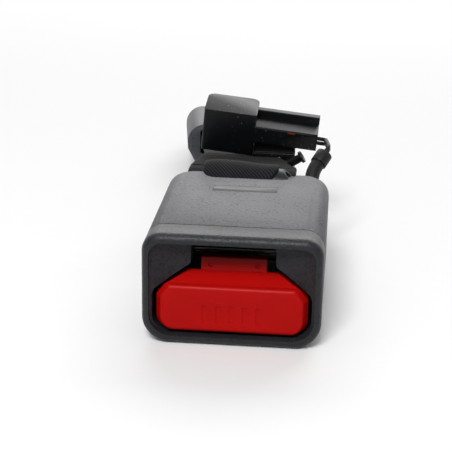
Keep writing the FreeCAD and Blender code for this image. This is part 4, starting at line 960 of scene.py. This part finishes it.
def wrapped_fold():
    """The short piece wrapped round the sleeve."""
    stations = []
    for (ly, lz, la), (ry, rz, ra) in zip(wrap_profile(*LEFT_WRAP), wrap_profile(*RIGHT_WRAP)):
        normal = Vector((0, math.cos((la + ra) / 2), math.sin((la + ra) / 2)))
        stations.append((Vector((FOLD_LEFT, BAR_Y + ly, BAR_Z + lz)) * MM,
                         Vector((FOLD_RIGHT, BAR_Y + ry, BAR_Z + rz)) * MM, normal))
    bm = bmesh.new()
    ribbon(bm, stations, WRAP_THICK * MM, 44, wrinkle=0.25 * MM, seed=3.0)
    centre = Vector((0, BAR_Y, BAR_Z)) * MM
    for vert in bm.verts:
        spoke = Vector((0, vert.co.y - centre.y, vert.co.z - centre.z))
        if spoke.length > SHAPED * MM:
            continue
        # The left end closes in, the top is fullest two fifths of the way along, the right end slants.
        share = (vert.co.x / MM - FOLD_LEFT) / (FOLD_RIGHT - FOLD_LEFT)
        scale = 1 - PINCH * max(0.0, 1 - share / 0.14) ** 2
        if spoke.z > 0:
            scale += SWELL * math.sin(math.pi * min(1.0, share / 0.8))
        vert.co.y = centre.y + spoke.y * scale
        vert.co.z = centre.z + spoke.z * scale
        height = min(1.0, max(0.0, (vert.co.z / MM - SLANT_FROM) / SLANT_OVER))
        vert.co.x += SLANT * MM * height * max(0.0, (share - 0.7) / 0.3)
    seat(cloth_piece("webbing_wrap", bm), TWILL, "root", "webbing", "webbing_fold")


def long_stretch(bm):
    """Both layers from the buckle to the anchor, which narrow on the way."""
    left = [Vector(point) for point in STRAP_LEFT]
    right = [Vector(point) for point in STRAP_RIGHT]
    for along in BEHIND_FLEX:
        level = FLEX.z - SLOPE * along
        left.append(rear_point(-STRAP_HALF, along, level) / MM)
        right.append(rear_point(STRAP_HALF, along, level) / MM)
    ribbon(bm, laid(through(left, 12), through(right, 12)), STRAP_THICK * MM, 46,
           wrinkle=0.25 * MM, seed=9.0)


def side_curls(bm):
    """The lower layer, which comes up from under the sleeve on both sides of the wrap."""
    curl = through([Vector((0, y, z)) for y, z in CURL], 5)
    for x0, x1 in ((CURL_ENDS[0], FOLD_LEFT - CURL_GAP), (FOLD_RIGHT + CURL_GAP, CURL_ENDS[1])):
        edges = [[Vector((x, point.y, point.z)) for point in curl] for x in (x0, x1)]
        ribbon(bm, laid(*edges, facing=-1), CURL_THICK * MM, 10, wrinkle=0.2 * MM, seed=5.0)


def anchor_loop(bm):
    """The two layers, which part round the anchor plate's bar."""
    stations = []
    for along, up, angle in wrap_profile(*ANCHOR_WRAP):
        reach = ANCHOR_REACH - along
        level = ANCHOR_Z + SLOPE * along * 0.9 + up
        normal = (rear_point(0, -math.cos(angle), math.sin(angle)) - rear_point(0, 0, 0)).normalized()
        stations.append((rear_point(-STRAP_HALF, reach, level), rear_point(STRAP_HALF, reach, level),
                         normal))
    ribbon(bm, stations, LOOP_THICK * MM, 20)


def sewn_block(settings):
    """The block behind the flex line that sews down the loops at both ends."""
    block = grown("webbing_stitches", stitch_tree(), {
        "Rows": settings.rows, "Width": BLOCK_WIDTH * MM, "Stitches": STITCHES,
        "Length": (STITCHES - 1) * settings.stitch * 1.25,
        "Stitch size": Vector((STITCH_WIDE * MM, settings.stitch / 2, STITCH_HIGH * MM)),
        "Through": Vector((0, 0, -STRAP_THICK * MM)),
        "Place": rear_point(0, BLOCK_REACH, FLEX.z - SLOPE * BLOCK_REACH + STRAP_THICK / 2),
        "Turned": (-math.atan(SLOPE), 0.0, YAW), "Seed": 4})
    seat(block, THREAD, "strap", "webbing")


class BUCKLE_OT_webbing(bpy.types.Operator):
    """Makes the folded webbing, from the loop at the buckle to the loop at the anchor"""
    bl_idname = "buckle.webbing"
    bl_label = "Webbing"

    def execute(self, context):
        wrapped_fold()
        bm = bmesh.new()
        long_stretch(bm)
        side_curls(bm)
        anchor_loop(bm)
        strap = cloth_piece("webbing_strap", bm)
        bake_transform(strap)
        paint(strap, TWILL)
        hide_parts("webbing_front", "webbing_rear")
        sewn_block(context.scene.buckle_webbing)
        sleeve = moulded_copy("sleeve_moulding", "loop_sleeve", 0.2 * MM)
        seat(sleeve, "Polypropylene sleeve grey", "root", "sleeve_plastic", "loop_sleeve")
        return {"FINISHED"}


class BUCKLE_OT_anchor(bpy.types.Operator):
    """Makes the anchor plate and its cover"""
    bl_idname = "buckle.anchor"
    bl_label = "Anchor"

    def execute(self, context):
        plate = moulded_copy("anchor_pressing", "anchor_plate", 0.4 * MM)
        seat(plate, "Black phosphate steel", "anchor", "anchor_steel", "anchor_plate")
        cover = moulded_copy("anchor_cover_moulding", "anchor_cover", 0.5 * MM,
                             wide=(2.2 * MM, 5, lambda middle: True))
        seat(cover, "Polypropylene cover grey", "anchor", "cover_plastic", "anchor_cover")
        return {"FINISHED"}


class BUCKLE_OT_connector(bpy.types.Operator):
    """Makes the connector, its lock and blades, and the clip that holds it on the webbing"""
    bl_idname = "buckle.connector"
    bl_label = "Connector"

    def execute(self, context):
        seat_parts((
            ("connector_shell", "Nylon connector black", "root", "connector_plastic", 0.3),
            ("connector_lock", "Orange nylon lock", "root", "lock_plastic", 0.1),
            ("connector_terminals", "Tinned brass", "root", "terminal_brass", 0.1),
            ("connector_clamp", "Nylon connector black", "root", "connector_plastic", 0.3),
            ("push_clip", "Nylon connector black", "root", "connector_plastic", 0.2)))
        return {"FINISHED"}


class BUCKLE_OT_harness(bpy.types.Operator):
    """Makes the switch's lead, its tape, its wires and the grommet"""
    bl_idname = "buckle.harness"
    bl_label = "Switch lead"

    def execute(self, context):
        seat_parts((
            ("harness_sleeve", "Black vinyl", "root", "harness_vinyl", 0.2),
            ("harness_tape", "Black vinyl", "root", "harness_vinyl", 0.2),
            ("harness_wires", "Black vinyl", "root", "harness_vinyl", 0.2),
            ("harness_grommet", "Black rubber", "root", "grommet_rubber", 0.2)))
        return {"FINISHED"}


class BUCKLE_PT_panel(bpy.types.Panel):
    """Lists the buckle's pieces in the sidebar."""
    bl_label = "Seat belt buckle"
    bl_space_type = "VIEW_3D"
    bl_region_type = "UI"
    bl_category = "Buckle"

    def draw(self, context):
        for operator in OPERATORS:
            self.layout.operator(operator.bl_idname)
        for group in GROUPS:
            box = self.layout.box()
            settings = getattr(context.scene, group)
            for name in settings.bl_rna.properties.keys():
                if name not in ("rna_type", "name"):
                    box.prop(settings, name)


OPERATORS = (BUCKLE_OT_finishes, BUCKLE_OT_stage, BUCKLE_OT_housing, BUCKLE_OT_bezel, BUCKLE_OT_button,
             BUCKLE_OT_mechanism, BUCKLE_OT_springs, BUCKLE_OT_webbing, BUCKLE_OT_anchor,
             BUCKLE_OT_connector, BUCKLE_OT_harness)
GROUPS = {"buckle_housing": HousingSettings, "buckle_button": ButtonSettings,
          "buckle_webbing": WebbingSettings, "buckle_stage": StageSettings}


def register():
    """Registers the settings, operators and panel."""
    for name, group in GROUPS.items():
        bpy.utils.register_class(group)
        setattr(bpy.types.Scene, name, PointerProperty(type=group))
    for operator in OPERATORS:
        bpy.utils.register_class(operator)
    bpy.utils.register_class(BUCKLE_PT_panel)


def unregister():
    """Undoes register()."""
    bpy.utils.unregister_class(BUCKLE_PT_panel)
    for operator in reversed(OPERATORS):
        bpy.utils.unregister_class(operator)
    for name, group in GROUPS.items():
        delattr(bpy.types.Scene, name)
        bpy.utils.unregister_class(group)


def main():
    """Makes the whole scene."""
    register()
    for operator in OPERATORS:
        getattr(bpy.ops.buckle, operator.bl_idname.split(".")[1])()


if __name__ == "__main__":
    main()
